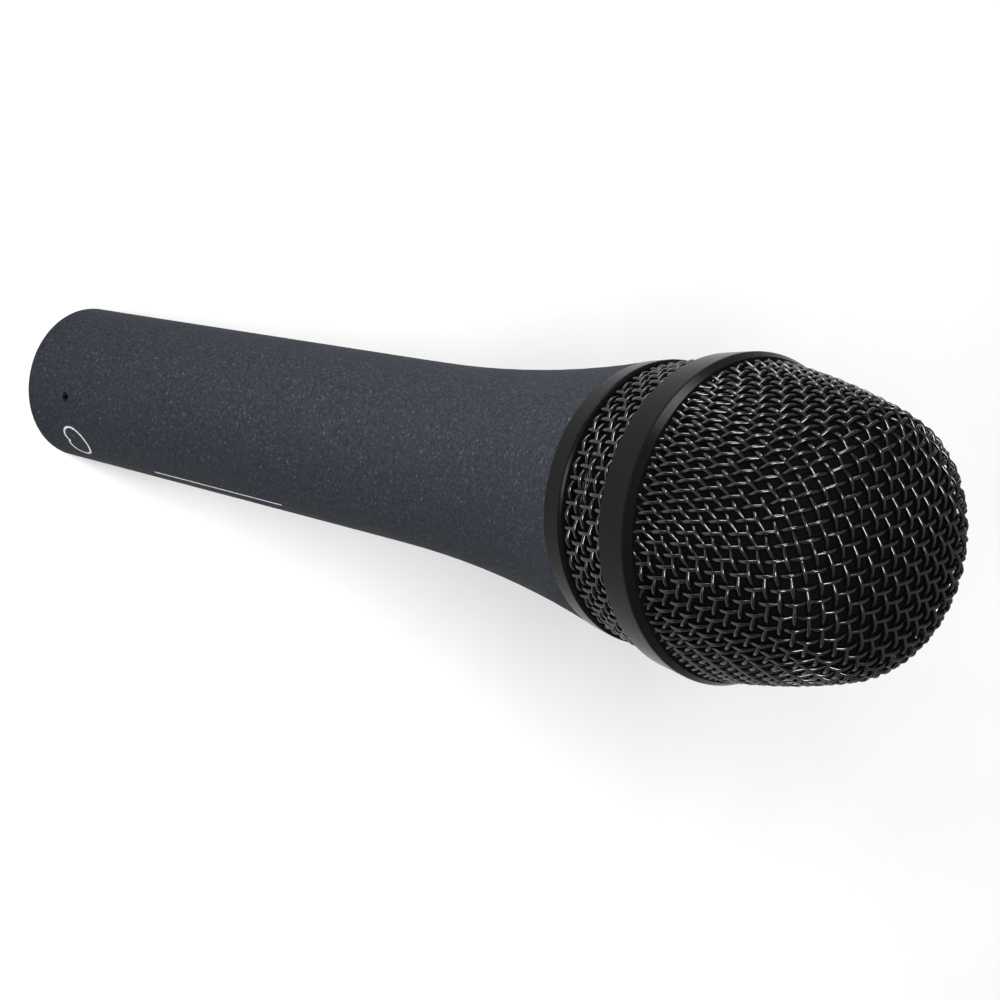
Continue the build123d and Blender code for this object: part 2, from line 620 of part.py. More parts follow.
with BuildPart() as surround:
    clamp_edge = LEDGE_BORE + SURROUND_EDGE
    hinge_edge = DIAPHRAGM_RIM_RADIUS - SURROUND_HINGE
    skin = DIAPHRAGM_THICKNESS
    revolve(
        outline(
            (CAPSULE_BORE, LEDGE_TOP),
            (CAPSULE_BORE, LEDGE_TOP + skin),
            (clamp_edge, LEDGE_TOP + skin),
            (DIAPHRAGM_RIM_RADIUS, RIM_LEVEL),
            (hinge_edge, RIM_LEVEL),
            (hinge_edge, RIM_LEVEL - skin),
            (DIAPHRAGM_RIM_RADIUS - skin, RIM_LEVEL - skin),
            (clamp_edge - skin, LEDGE_TOP),
        ),
        axis=Axis.Z,
    )
surround.part.label = "surround"
export_step(surround.part, "parts/surround.step")

with BuildPart() as surround_clamp:
    clamp_base = LEDGE_TOP + DIAPHRAGM_THICKNESS
    clamp_ring = annulus(LEDGE_BORE + SURROUND_CLAMP_MARGIN, CAPSULE_BORE, clamp_base)
    extrude(clamp_ring, amount=SURROUND_CLAMP_HEIGHT)
surround_clamp.part.label = "surround_clamp"
export_step(surround_clamp.part, "parts/surround_clamp.step")

with BuildPart() as capsule_cap:
    skirt_bottom = CAPSULE_FRONT - CAP_SKIRT_DEPTH
    skirt_bore = CAPSULE_BORE - CAP_SKIRT_WALL
    cap_front = CAPSULE_FRONT + CAP_THICKNESS
    revolve(
        outline(
            (0, CAPSULE_FRONT),
            (skirt_bore, CAPSULE_FRONT),
            (skirt_bore, skirt_bottom),
            (CAPSULE_BORE, skirt_bottom),
            (CAPSULE_BORE, CAPSULE_FRONT),
            (CAPSULE_RADIUS, CAPSULE_FRONT),
            (CAPSULE_RADIUS, cap_front - CAP_EDGE_CHAMFER),
            (CAPSULE_RADIUS - CAP_EDGE_CHAMFER, cap_front),
            (0, cap_front),
        ),
        axis=Axis.Z,
    )
    with BuildSketch(Plane.XY.offset(CAPSULE_FRONT)):
        Circle(CAP_MIDDLE_HOLE_RADIUS)
        with PolarLocations(CAPSULE_BORE * CAP_HOLE_SHARE, CAP_HOLE_COUNT):
            Circle(CAP_HOLE_RADIUS)
    extrude(amount=CAP_THICKNESS, mode=Mode.SUBTRACT)
capsule_cap.part.label = "capsule_cap"
export_step(capsule_cap.part, "parts/capsule_cap.step")

with BuildPart() as front_cloth:
    cloth_face = round_face(CAPSULE_BORE - CLOTH_MARGIN, CAPSULE_FRONT - CLOTH_THICKNESS)
    extrude(cloth_face, amount=CLOTH_THICKNESS)
front_cloth.part.label = "front_cloth"
export_step(front_cloth.part, "parts/front_cloth.step")

with BuildPart() as rear_felt:
    felt_face = annulus(CAPSULE_WEB_BORE, CHAMBER_RADIUS - CHAMBER_WALL, CAPSULE_SEAT - FELT_THICKNESS)
    extrude(felt_face, amount=FELT_THICKNESS)
rear_felt.part.label = "rear_felt"
export_step(rear_felt.part, "parts/rear_felt.step")

with BuildPart() as rear_chamber:
    inner = CHAMBER_RADIUS - CHAMBER_WALL
    revolve(
        outline(
            (0, CHAMBER_BACK),
            (CHAMBER_RADIUS - CHAMBER_EDGE_CHAMFER, CHAMBER_BACK),
            (CHAMBER_RADIUS, CHAMBER_BACK + CHAMBER_EDGE_CHAMFER),
            (CHAMBER_RADIUS, CAPSULE_SEAT),
            (inner, CAPSULE_SEAT),
            (inner, CHAMBER_BACK + CHAMBER_WALL),
            (0, CHAMBER_BACK + CHAMBER_WALL),
        ),
        axis=Axis.Z,
    )
rear_chamber.part.label = "rear_chamber"
export_step(rear_chamber.part, "parts/rear_chamber.step")

with BuildPart() as terminal_strip:
    strip_back = CHAMBER_BACK - STRIP_THICKNESS
    with BuildSketch(Plane.XY.offset(strip_back)):
        RectangleRounded(LUG_SPACING + STRIP_MARGIN, STRIP_WIDTH, STRIP_CORNER)
    extrude(amount=STRIP_THICKNESS)
terminal_strip.part.label = "terminal_strip"
export_step(terminal_strip.part, "parts/terminal_strip.step")

lug_end = strip_back - LUG_LENGTH
for number, side in enumerate((-1, 1), start=1):
    with BuildPart() as solder_lug:
        with BuildSketch(Plane.XY.offset(lug_end)):
            with Locations((side * LUG_SPACING / 2, 0)):
                Rectangle(LUG_WIDTH, LUG_THICKNESS)
        extrude(amount=LUG_LENGTH)
    solder_lug.part.label = f"solder_lug_{number}"
    export_step(solder_lug.part, f"parts/solder_lug_{number}.step")

# ---------------------------------------------------------------- inside the handle
core_top = TRANSFORMER_START + CORE_HEIGHT
with BuildPart() as transformer_core:
    with BuildSketch(Plane.XY.offset(TRANSFORMER_START)):
        Rectangle(CORE_WIDTH, CORE_DEPTH)
    extrude(amount=CORE_HEIGHT)
    chamfer(transformer_core.edges().filter_by(Axis.Z), length=CORE_EDGE_CHAMFER)
transformer_core.part.label = "transformer_core"
export_step(transformer_core.part, "parts/transformer_core.step")

with BuildPart() as transformer_winding:
    winding_start = TRANSFORMER_START + (CORE_HEIGHT - WINDING_LENGTH) / 2
    with BuildSketch(Plane.XY.offset(winding_start)):
        RectangleRounded(WINDING_WIDTH, WINDING_DEPTH, WINDING_CORNER)
    extrude(amount=WINDING_LENGTH)
    add(transformer_core.part, mode=Mode.SUBTRACT)
transformer_winding.part.label = "transformer_winding"
export_step(transformer_winding.part, "parts/transformer_winding.step")

with BuildPart() as transformer_boot:
    boot_start = TRANSFORMER_START - BOOT_OVERLAP
    boot_top = core_top + BOOT_OVERLAP
    revolve(
        outline(
            (0, boot_start),
            (cavity_radius(boot_start), boot_start),
            (cavity_radius(boot_top), boot_top),
            (0, boot_top),
        ),
        axis=Axis.Z,
    )
    with BuildSketch(Plane.XY.offset(boot_start)):
        RectangleRounded(WINDING_WIDTH, WINDING_DEPTH, WINDING_CORNER)
    extrude(amount=boot_top - boot_start, mode=Mode.SUBTRACT)
    with BuildSketch(Plane.XY.offset(boot_start)):
        with PolarLocations(cavity_radius(boot_start), 3, start_angle=90):
            Circle(BOOT_FLUTE_RADIUS)
    extrude(amount=boot_top - boot_start, mode=Mode.SUBTRACT)
transformer_boot.part.label = "transformer_boot"
export_step(transformer_boot.part, "parts/transformer_boot.step")

board_top = BOARD_HEIGHT + BOARD_THICKNESS
with BuildPart() as terminal_board:
    board_radius = cavity_radius(BOARD_HEIGHT) - BOARD_CLEARANCE
    extrude(round_face(board_radius, BOARD_HEIGHT), amount=BOARD_THICKNESS)
    with BuildSketch(Plane.XY.offset(BOARD_HEIGHT)):
        with PolarLocations(board_radius * BOARD_HOLE_SHARE, BOARD_HOLE_COUNT, start_angle=45):
            Circle(BOARD_HOLE_RADIUS)
    extrude(amount=BOARD_THICKNESS, mode=Mode.SUBTRACT)
terminal_board.part.label = "terminal_board"
export_step(terminal_board.part, "parts/terminal_board.step")

# Wires: connector to transformer, transformer to board, board to capsule.
def bowed_route(start, end, side, bows, straight_share):
    """A route that leaves and ends along the axis, and bows out to its side and across on the way."""
    span = end - start
    lift = Vector(0, 0, span.Z * straight_share)
    turns = [start + span * share + Vector(side * out, across, 0) for share, out, across in bows]
    points = [start, start + lift, *turns, end - lift, end]
    return [(point.X, point.Y, point.Z) for point in points]


pin_places = [Vector(PIN_CIRCLE_RADIUS, 0, 0).rotate(Axis.Z, angle) for angle in PIN_ANGLES]
for number, side in ((2, -1), (3, 1)):
    start = pin_places[number - 1] + Vector(0, 0, PIN_TAIL)
    end = Vector(side * CORE_WIRE_OFFSET, 0, TRANSFORMER_START)
    route_points = bowed_route(start, end, side, SIGNAL_BOWS, SIGNAL_STRAIGHT_SHARE)
    round_wire(f"signal_wire_{number}", route_points, WIRE_RADIUS)

for number, side in enumerate((-1, 1), start=1):
    start = Vector(side * CORE_WIRE_OFFSET, 0, core_top)
    end = Vector(side * LUG_SPACING / 2, 0, BOARD_HEIGHT)
    route_points = bowed_route(start, end, side, BOARD_BOWS, BOARD_STRAIGHT_SHARE)
    round_wire(f"board_wire_{number}", route_points, WIRE_RADIUS)

for number, side in enumerate((-1, 1), start=1):
    start = Vector(side * LUG_SPACING / 2, 0, board_top)
    end = Vector(side * LUG_SPACING / 2, 0, lug_end)
    route_points = bowed_route(start, end, side, LEAD_BOWS, LEAD_STRAIGHT_SHARE)
    round_wire(f"capsule_lead_{number}", route_points, LEAD_RADIUS)

# ---------------------------------------------------------------- head
with BuildPart() as base_ring:
    ring_bottom = NECK_FACE + SEAM
    bore = THREAD_RADIUS + THREAD_CLEARANCE
    revolve(
        outline(
            (bore, ring_bottom),
            (BASE_RING_RADIUS - RING_EDGE_CHAMFER, ring_bottom),
            (BASE_RING_RADIUS, ring_bottom + RING_EDGE_CHAMFER),
            (BASE_RING_LIP_RADIUS, BASE_RING_TOP - BASE_RING_CHAMFER),
            (BASE_RING_LIP_RADIUS - BASE_RING_CHAMFER_WIDTH, BASE_RING_TOP),
            (bore, BASE_RING_TOP),
        ),
        axis=Axis.Z,
    )
    lip_edge = base_ring.edges().filter_by(GeomType.CIRCLE).sort_by(SortBy.RADIUS)[-1]
    fillet(lip_edge, radius=BASE_RING_LIP_ROUND)
base_ring.part.label = "base_ring"
export_step(base_ring.part, "parts/base_ring.step")

with BuildPart() as lower_mesh:
    revolve(
        outline(
            (LOWER_MESH_START_RADIUS - MESH_THICKNESS, BASE_RING_TOP),
            (LOWER_MESH_START_RADIUS, BASE_RING_TOP),
            (LOWER_MESH_END_RADIUS, MID_RING_BACK),
            (LOWER_MESH_END_RADIUS - MESH_THICKNESS, MID_RING_BACK),
        ),
        axis=Axis.Z,
    )
lower_mesh.part.label = "lower_mesh"
export_step(lower_mesh.part, "parts/lower_mesh.step")

with BuildPart() as mid_ring:
    revolve(
        outline(
            (MID_RING_BORE, MID_RING_BACK),
            (MID_RING_BACK_RADIUS - RING_EDGE_CHAMFER, MID_RING_BACK),
            (MID_RING_BACK_RADIUS, MID_RING_BACK + RING_EDGE_CHAMFER),
            (MID_RING_RADIUS, MID_RING_FRONT - MID_RING_CHAMFER),
            (MID_RING_LIP_RADIUS, MID_RING_FRONT),
            (MID_RING_BORE, MID_RING_FRONT),
        ),
        axis=Axis.Z,
    )
    lip_edge = mid_ring.edges().filter_by(GeomType.CIRCLE).sort_by(SortBy.RADIUS)[-1]
    fillet(lip_edge, radius=MID_RING_LIP_ROUND)
mid_ring.part.label = "mid_ring"
export_step(mid_ring.part, "parts/mid_ring.step")

with BuildPart() as upper_mesh:
    with BuildSketch(Plane.XZ):
        with BuildLine():
            outer_rim, outer_apex = draw_dome_arcs(0)
            inner_rim, inner_apex = draw_dome_arcs(MESH_THICKNESS)
            Line((outer_rim.X, outer_rim.Y), (inner_rim.X, inner_rim.Y))
            Line((outer_apex.X, outer_apex.Y), (inner_apex.X, inner_apex.Y))
        make_face()
    revolve(axis=Axis.Z)
upper_mesh.part.label = "upper_mesh"
export_step(upper_mesh.part, "parts/upper_mesh.step")

foam_depth = MESH_THICKNESS + FOAM_GAP
with BuildPart() as head_foam:
    with BuildSketch(Plane.XZ):
        with BuildLine():
            outer_rim, outer_apex = draw_dome_arcs(foam_depth)
            inner_rim, inner_apex = draw_dome_arcs(foam_depth + FOAM_THICKNESS)
            Line((outer_apex.X, outer_apex.Y), (inner_apex.X, inner_apex.Y))
            waist = MID_RING_BORE - FOAM_GAP
            narrow = LOWER_MESH_END_RADIUS - MESH_THICKNESS - FOAM_GAP
            slope = (LOWER_MESH_END_RADIUS - LOWER_MESH_START_RADIUS) / LOWER_MESH_HEIGHT
            foot = COLLAR_TOP + FOAM_FOOT_GAP
            foot_radius = narrow - slope * (MID_RING_BACK - foot)
            Polyline(
                (outer_rim.X, outer_rim.Y),
                (min(waist, outer_rim.X), MID_RING_FRONT),
                (min(waist, narrow), MID_RING_BACK),
                (foot_radius, foot),
                (foot_radius - FOAM_THICKNESS * FOAM_FOOT_SHARE, foot),
                (min(waist, narrow) - FOAM_THICKNESS, MID_RING_BACK),
                (inner_rim.X, inner_rim.Y),
            )
        make_face()
    revolve(axis=Axis.Z)
head_foam.part.label = "head_foam"
export_step(head_foam.part, "parts/head_foam.step")
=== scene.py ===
"""Looks for a handheld dynamic microphone: woven wire head, foam liner, cut thread, paint and printed marks.

Every length is in millimetres until it is written into a mesh, which is in metres. Only the studio's
places and sizes are in metres throughout.
"""

import json

import bpy
import numpy as np
from bpy.props import FloatProperty, FloatVectorProperty, IntProperty, PointerProperty, StringProperty
from mathutils import Matrix, Vector


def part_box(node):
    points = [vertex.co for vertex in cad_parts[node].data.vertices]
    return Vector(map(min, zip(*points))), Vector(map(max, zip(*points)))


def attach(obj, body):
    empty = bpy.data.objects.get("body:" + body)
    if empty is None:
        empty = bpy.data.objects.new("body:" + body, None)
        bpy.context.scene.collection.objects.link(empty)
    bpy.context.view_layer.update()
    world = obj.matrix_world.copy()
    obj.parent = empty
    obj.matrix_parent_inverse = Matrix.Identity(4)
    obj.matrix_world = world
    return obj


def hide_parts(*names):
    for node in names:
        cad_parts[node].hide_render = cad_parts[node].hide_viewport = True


bl_info = {
    "name": "Dynamic Microphone Looks",
    "version": (1, 0, 0),
    "blender": (4, 5, 0),
    "location": "3D Viewport > Sidebar > Microphone",
    "description": "Builds the woven head, foam, thread, marks, finishes and studio of a dynamic microphone",
    "category": "Object",
}

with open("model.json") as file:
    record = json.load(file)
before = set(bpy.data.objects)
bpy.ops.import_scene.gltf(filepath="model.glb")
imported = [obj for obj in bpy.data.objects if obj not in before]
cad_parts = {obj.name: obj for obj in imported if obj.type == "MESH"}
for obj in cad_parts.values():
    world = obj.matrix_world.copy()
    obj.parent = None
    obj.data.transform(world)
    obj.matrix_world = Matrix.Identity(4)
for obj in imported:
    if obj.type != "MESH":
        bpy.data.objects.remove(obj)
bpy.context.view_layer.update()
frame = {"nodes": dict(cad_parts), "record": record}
MM = 0.001


def extent(node):
    """The lowest and highest corners of a CAD node, in millimetres."""
    low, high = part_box(node)
    return np.array(low) / MM, np.array(high) / MM


DOME_LOW, DOME_HIGH = extent("upper_mesh")
BAND_LOW, BAND_HIGH = extent("lower_mesh")
COLLAR_LOW, COLLAR_HIGH = extent("thread_collar")
MID_HIGH = extent("mid_ring")[1]
FOAM_FOOT = extent("head_foam")[0][2]
HANDLE_FACE = extent("handle")[1][2]

# The dome's outline is three arcs, as the CAD shell has.
DOME_SIDE_ARC = 114.0
DOME_SHOULDER_ARC = 8.6
DOME_FRONT_ARC = 46.2
DOME_LEAN = np.radians(3.6)
DOME_RIM_RADIUS = DOME_HIGH[0]
BAND_START_RADIUS = 20.3
TAIL_RADIUS = 12.0
TAPER = 0.0235  # radius gained per mm of length


# ---------------------------------------------------------------- settings


class ClothSettings(bpy.types.PropertyGroup):
    """Sizes of the wire cloth."""

    wire: FloatProperty(
        name="Wire", description="Wire diameter, mm", default=0.6, min=0.2, max=1.0)
    pitch: FloatProperty(
        name="Pitch", description="Wire spacing of the flat cloth, mm", default=2.28, min=1.2)
    turn: FloatProperty(
        name="Turn", description="How far the cloth is turned about the axis",
        default=np.radians(27.5), subtype="ANGLE")
    lock: FloatProperty(
        name="Locking angle", description="Angle at which crossing wires jam",
        default=np.radians(40.0), subtype="ANGLE")
    uprights: IntProperty(
        name="Uprights", description="Wires along the band, an even number", default=70, min=4)
    hoops: IntProperty(
        name="Hoops", description="Wires round the band", default=5, min=1)


class LinerSettings(bpy.types.PropertyGroup):
    """Sizes of the foam liner."""

    thickness: FloatProperty(
        name="Thickness", description="Foam thickness, mm", default=2.4, min=0.5)
    pore: FloatProperty(
        name="Pore", description="Spacing of the open cells, mm", default=0.75, min=0.3)
    relief: FloatProperty(
        name="Relief", description="Depth of the open cells, mm", default=0.28, min=0.0)


class ThreadSettings(bpy.types.PropertyGroup):
    """Sizes of the collar's thread."""

    pitch: FloatProperty(
        name="Pitch", description="Travel of the head for one turn, mm", default=1.0, min=0.2)
    depth: FloatProperty(
        name="Depth", description="Height of the thread's ridge, mm", default=0.5, min=0.0)


class MarkSettings(bpy.types.PropertyGroup):
    """Sizes and places of the plain printed marks."""

    line: FloatProperty(
        name="Line", description="Width of a printed line, mm", default=0.4, min=0.05)
    side: FloatProperty(
        name="Side", description="Where round the handle the marks sit",
        default=np.radians(-38.0), subtype="ANGLE")


class ColourSettings(bpy.types.PropertyGroup):
    """Colours as sRGB hex values."""

    handle: StringProperty(name="Handle", description="Textured paint of the handle", default="#25282d")
    rings: StringProperty(name="Rings", description="Satin paint of the head's rings", default="#070708")
    wire: StringProperty(name="Wire", description="Paint of the wire cloth", default="#050505")
    foam: StringProperty(name="Foam", description="Foam liner", default="#030303")
    print: StringProperty(name="Print", description="Printed marks", default="#b9bcc0")


class StudioSettings(bpy.types.PropertyGroup):
    """Camera and light."""

    place: FloatVectorProperty(
        name="Camera", description="Where the camera stands",
        default=(0.0, -0.5359, 0.6466), size=3, subtype="TRANSLATION")
    aim: FloatVectorProperty(
        name="Aim", description="The way the camera looks",
        default=(0.0060, 0.6998, -0.7143), size=3, subtype="DIRECTION")
    top: FloatVectorProperty(
        name="Top", description="The way the top of the picture points",
        default=(-0.9788, -0.1421, -0.1474), size=3, subtype="DIRECTION")
    lens: FloatProperty(
        name="Lens", description="Focal length, mm", default=185.7, min=10.0)
    overhead: FloatProperty(
        name="Overhead", description="Power of the light above", default=4.0, min=0.0, unit="POWER")
    front: FloatProperty(
        name="Front", description="Power of the light in front", default=17.0, min=0.0, unit="POWER")
    side: FloatProperty(
        name="Side", description="Power of the light at the side", default=0.6, min=0.0, unit="POWER")
    around: FloatProperty(
        name="Around", description="Strength of the even light all round", default=0.4, min=0.0)


# ---------------------------------------------------------------- meshes


def grid_faces(rows, columns, closed=False):
    """Corner numbers of the quads between the rows of a grid that wraps round its columns.

    Corner (row, column) has the number row * columns + column. A closed grid wraps round its rows too.
    """
    row = np.arange(rows if closed else rows - 1)[:, None]
    column = np.arange(columns)[None, :]
    below = (row + 1) % rows
    beside = (column + 1) % columns
    corners = [
        row * columns + column,
        below * columns + column,
        below * columns + beside,
        row * columns + beside,
    ]
    return np.stack(corners, axis=-1).reshape(-1, 4)


def tube(path, outward, high, wide, sides, closed=False):
    """A tube along a path: path + high cos(a) up - wide sin(a) side, for the angle a round the section.

    up is the outward direction made square to the path, and side is path x outward. An open tube is capped.
    Faces are given as blocks, each an array with a row of corner numbers for each face.
    """
    along = np.gradient(path, axis=0)
    if closed:
        along = np.roll(path, -1, axis=0) - np.roll(path, 1, axis=0)
    along /= np.linalg.norm(along, axis=1, keepdims=True)
    side = np.cross(along, outward)
    side /= np.linalg.norm(side, axis=1, keepdims=True)
    up = np.cross(side, along)
    angle = np.linspace(0, 2 * np.pi, sides, endpoint=False)[None, :, None]
    points = path[:, None] + high * np.cos(angle) * up[:, None] - wide * np.sin(angle) * side[:, None]
    blocks = [grid_faces(len(path), sides, closed)]
    if not closed:
        corner = np.arange(sides)[None, :]
        blocks += [corner, len(path) * sides - 1 - corner]
    return points.reshape(-1, 3), blocks


def on_cone(radius, level, angle, slope):
    """Points of a cone and their outward directions.

    For a point at the angle f they are (radius cos(f), radius sin(f), level), and (cos(f), sin(f), -slope)
    made one long.
    """
    points = np.stack([radius * np.cos(angle), radius * np.sin(angle), level], axis=-1)
    outward = np.stack([np.cos(angle), np.sin(angle), np.full(len(angle), -slope)], axis=-1)
    return points, outward / np.linalg.norm(outward, axis=-1, keepdims=True)


def turned(radius, level, closed):
    """A surface turned about the axis: (radius cos(f), radius sin(f), level), for the angle f of each column.

    radius and level have a row for each point of the outline, which runs down the outside and up the
    inside. An open outline starts and ends on the axis, where its first and last rows become single points.
    """
    rows, columns = radius.shape
    angle = np.arange(columns) * 2 * np.pi / columns
    points = np.stack([radius * np.cos(angle), radius * np.sin(angle), level], axis=-1).reshape(-1, 3)
    blocks = [grid_faces(rows, columns, closed)]
    if not closed:
        top = len(points)
        column = np.arange(columns)
        beside = (column + 1) % columns
        points = np.vstack([points, [0, 0, level[0, 0]], [0, 0, level[-1, 0]]])
        last = (rows - 1) * columns
        blocks.append(np.stack([np.full(columns, top), column, beside], axis=-1))
        blocks.append(np.stack([np.full(columns, top + 1), last + beside, last + column], axis=-1))
    return points, blocks


def make_piece(name, parts, material, body, replaced=()):
    """One object from several (points, face blocks) parts.

    It rides on a body, and stands for the replaced nodes.
    """
    faces = []
    count = 0
    for points, blocks in parts:
        for block in blocks:
            faces += (block + count).tolist()
        count += len(points)
    every_point = np.vstack([points for points, _ in parts]) * MM
    mesh = bpy.data.meshes.new(name)
    mesh.from_pydata(every_point.tolist(), [], faces)
    mesh.polygons.foreach_set("use_smooth", np.ones(len(mesh.polygons), dtype=bool))
    mesh.materials.append(material)
    mesh.validate()
    mesh.update()
    piece = bpy.data.objects.new(name, mesh)
    bpy.context.scene.collection.objects.link(piece)
    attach(piece, body)
    if replaced:
        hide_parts(*replaced)
    return piece


# ---------------------------------------------------------------- dome surface


def dome_arcs():
    """Centres (radius, level) of the side, shoulder and front arcs.

    The side arc's centre is a side radius in from the rim, square to the lean. The front arc's centre is on
    the axis. The shoulder touches both from inside, so its centre is a radius difference from each of
    theirs.
    """
    side = np.array([DOME_RIM_RADIUS, DOME_LOW[2]])
    side = side - DOME_SIDE_ARC * np.array([np.cos(DOME_LEAN), np.sin(DOME_LEAN)])
    front = np.array([0.0, DOME_HIGH[2] - DOME_FRONT_ARC])
    from_side = DOME_SIDE_ARC - DOME_SHOULDER_ARC
    from_front = DOME_FRONT_ARC - DOME_SHOULDER_ARC
    between = front - side
    distance = np.hypot(*between)
    reach = (from_side**2 - from_front**2 + distance**2) / (2 * distance)
    unit = between / distance
    across = np.array([-unit[1], unit[0]])
    shoulder = side + reach * unit + np.sqrt(from_side**2 - reach**2) * across
    return side, shoulder, front


ARC_CENTRES = dome_arcs()
FRONT_ANGLE = np.arctan2(*(ARC_CENTRES[1] - ARC_CENTRES[2]))
SHOULDER_ANGLE = np.arctan2(*(ARC_CENTRES[1] - ARC_CENTRES[0]))
RIM_ANGLE = np.pi / 2 - DOME_LEAN
BREAK_ANGLES = np.array([0.0, FRONT_ANGLE, SHOULDER_ANGLE, RIM_ANGLE])
ARC_LENGTHS = np.diff(BREAK_ANGLES) * [DOME_FRONT_ARC, DOME_SHOULDER_ARC, DOME_SIDE_ARC]
BREAKS = np.concatenate([[0.0], np.cumsum(ARC_LENGTHS)])


def dome_outline(reach, depth):
    """Radius, level and tilt of the dome's outline, reach millimetres from its front and depth inside it.

    tilt is the angle between the outward direction and the axis, and grows evenly along each arc. A point
    is the arc's centre + (arc radius - depth) (sin(tilt), cos(tilt)). Past the rim the outline runs
    straight on.
    """
    tilt = np.interp(reach, BREAKS, BREAK_ANGLES)
    on_front = reach < BREAKS[1]
    on_shoulder = reach < BREAKS[2]
    arc = np.select([on_front, on_shoulder], [DOME_FRONT_ARC, DOME_SHOULDER_ARC], DOME_SIDE_ARC) - depth
    side, shoulder, front = ARC_CENTRES
    past = np.clip(reach - BREAKS[3], 0, None)
    radius = np.select([on_front, on_shoulder], [front[0], shoulder[0]], side[0])
    level = np.select([on_front, on_shoulder], [front[1], shoulder[1]], side[1])
    radius = radius + arc * np.sin(tilt) + past * np.sin(DOME_LEAN)
    level = level + arc * np.cos(tilt) - past * np.cos(DOME_LEAN)
    return radius, level, tilt


def on_dome(reach, angle, depth):
    """Points of the dome and their outward directions: the outline, turned to each angle about the axis."""
    radius, level, tilt = dome_outline(reach, depth)
    points = np.stack([radius * np.cos(angle), radius * np.sin(angle), level], axis=-1)
    outward = np.stack([np.sin(tilt) * np.cos(angle), np.sin(tilt) * np.sin(angle), np.cos(tilt)], axis=-1)
    return points, outward


# ---------------------------------------------------------------- wire cloth

CLOTH_REACH = 24  # crossings each way from the middle of the cloth
CLOTH_BLANK = 54.0  # radius of the round blank that is pressed into the dome
CLOTH_STEPS = 1500
CLOTH_STEP = 0.15
SQUEEZE_STIFFNESS = 0.4  # of a wire pushed together, which crimps more, against 1 for one pulled straight
SHEAR_STIFFNESS = 0.05
JAM_STIFFNESS = 0.8
BEND_STIFFNESS = 0.2
SHORTEST = 1e-9  # keeps a spring of no length from a division by zero
RIM_TUCK = 1.2  # how far the wires run on inside the middle ring
WIRE_SAMPLES = 7  # points along a wire for each crossing
WIRE_SIDES = 8


def spring_pull(points, active, first, second, rest, pulled, pushed):
    """Forces of the springs between two shifted copies of the cloth.

    Each spring pulls by stiffness (length - rest) along itself. The stiffness is pulled for a spring longer
    than its rest, and pushed for one that is shorter.
    """
    gap = points[second] - points[first]
    length = np.linalg.norm(gap, axis=-1, keepdims=True) + SHORTEST
    stretch = length - rest
    stiffness = np.where(stretch > 0, pulled, pushed)
    force = stiffness * stretch * gap / length * (active[first] & active[second])[..., None]
    pull = np.zeros_like(points)
    pull[first] += force
    pull[second] -= force
    return pull


def bend_pull(points, outward, active, axis):
    """Forces that straighten each wire within the surface.

    The bend at a crossing is before - 2 here + after, less its part along the outward direction. It pushes
    the crossing by twice the stiffness times the bend, and each neighbour back by half of that.
    """
    points, outward, active = (np.moveaxis(array, axis, 0) for array in (points, outward, active))
    bend = points[:-2] - 2 * points[1:-1] + points[2:]
    bend = bend - (bend * outward[1:-1]).sum(axis=-1, keepdims=True) * outward[1:-1]
    bend = BEND_STIFFNESS * bend * (active[:-2] & active[1:-1] & active[2:])[..., None]
    pull = np.zeros_like(points)
    pull[:-2] -= bend
    pull[1:-1] += 2 * bend
    pull[2:] -= bend
    return np.moveaxis(pull, 0, axis)


def press_cloth(pitch, lock):
    """Where each crossing of a flat square-woven cloth comes to lie when it is pressed over the dome.

    The crossings start where the flat cloth would be wrapped straight down from the front: reach is the
    distance from the middle, and angle the direction. Then each moves over the dome by a share of its
    springs' pull, again and again: the wires keep their pitch, stay straight, and jam when they cross at
    less than the locking angle.
    """
    steps = np.arange(-CLOTH_REACH, CLOTH_REACH + 1) * pitch
    across, along = np.meshgrid(steps, steps, indexing="ij")
    reach = np.hypot(across, along)
    angle = np.arctan2(along, across)
    active = reach < CLOTH_BLANK
    every, here, next_on = slice(None), slice(0, -1), slice(1, None)
    square = pitch * np.sqrt(2)
    jammed = 2 * pitch * np.sin(lock / 2)
    springs = [
        ((here, every), (next_on, every), pitch, 1.0, SQUEEZE_STIFFNESS),
        ((every, here), (every, next_on), pitch, 1.0, SQUEEZE_STIFFNESS),
        ((here, here), (next_on, next_on), square, SHEAR_STIFFNESS, SHEAR_STIFFNESS),
        ((here, next_on), (next_on, here), square, SHEAR_STIFFNESS, SHEAR_STIFFNESS),
        ((here, here), (next_on, next_on), jammed, 0.0, JAM_STIFFNESS),
        ((here, next_on), (next_on, here), jammed, 0.0, JAM_STIFFNESS),
    ]
    for _ in range(CLOTH_STEPS):
        points, outward = on_dome(reach, angle, 0.0)
        pull = sum(spring_pull(points, active, *spring) for spring in springs)
        pull += bend_pull(points, outward, active, 0) + bend_pull(points, outward, active, 1)
        tilt = np.interp(reach, BREAKS, BREAK_ANGLES)
        down = np.stack([np.cos(tilt) * np.cos(angle), np.cos(tilt) * np.sin(angle), -np.sin(tilt)], axis=-1)
        moved = points + CLOTH_STEP * pull
        reach = np.abs(reach + CLOTH_STEP * (pull * down).sum(axis=-1))
        angle = np.arctan2(moved[..., 1], moved[..., 0])
    return np.stack([reach * np.cos(angle), reach * np.sin(angle)], axis=-1)


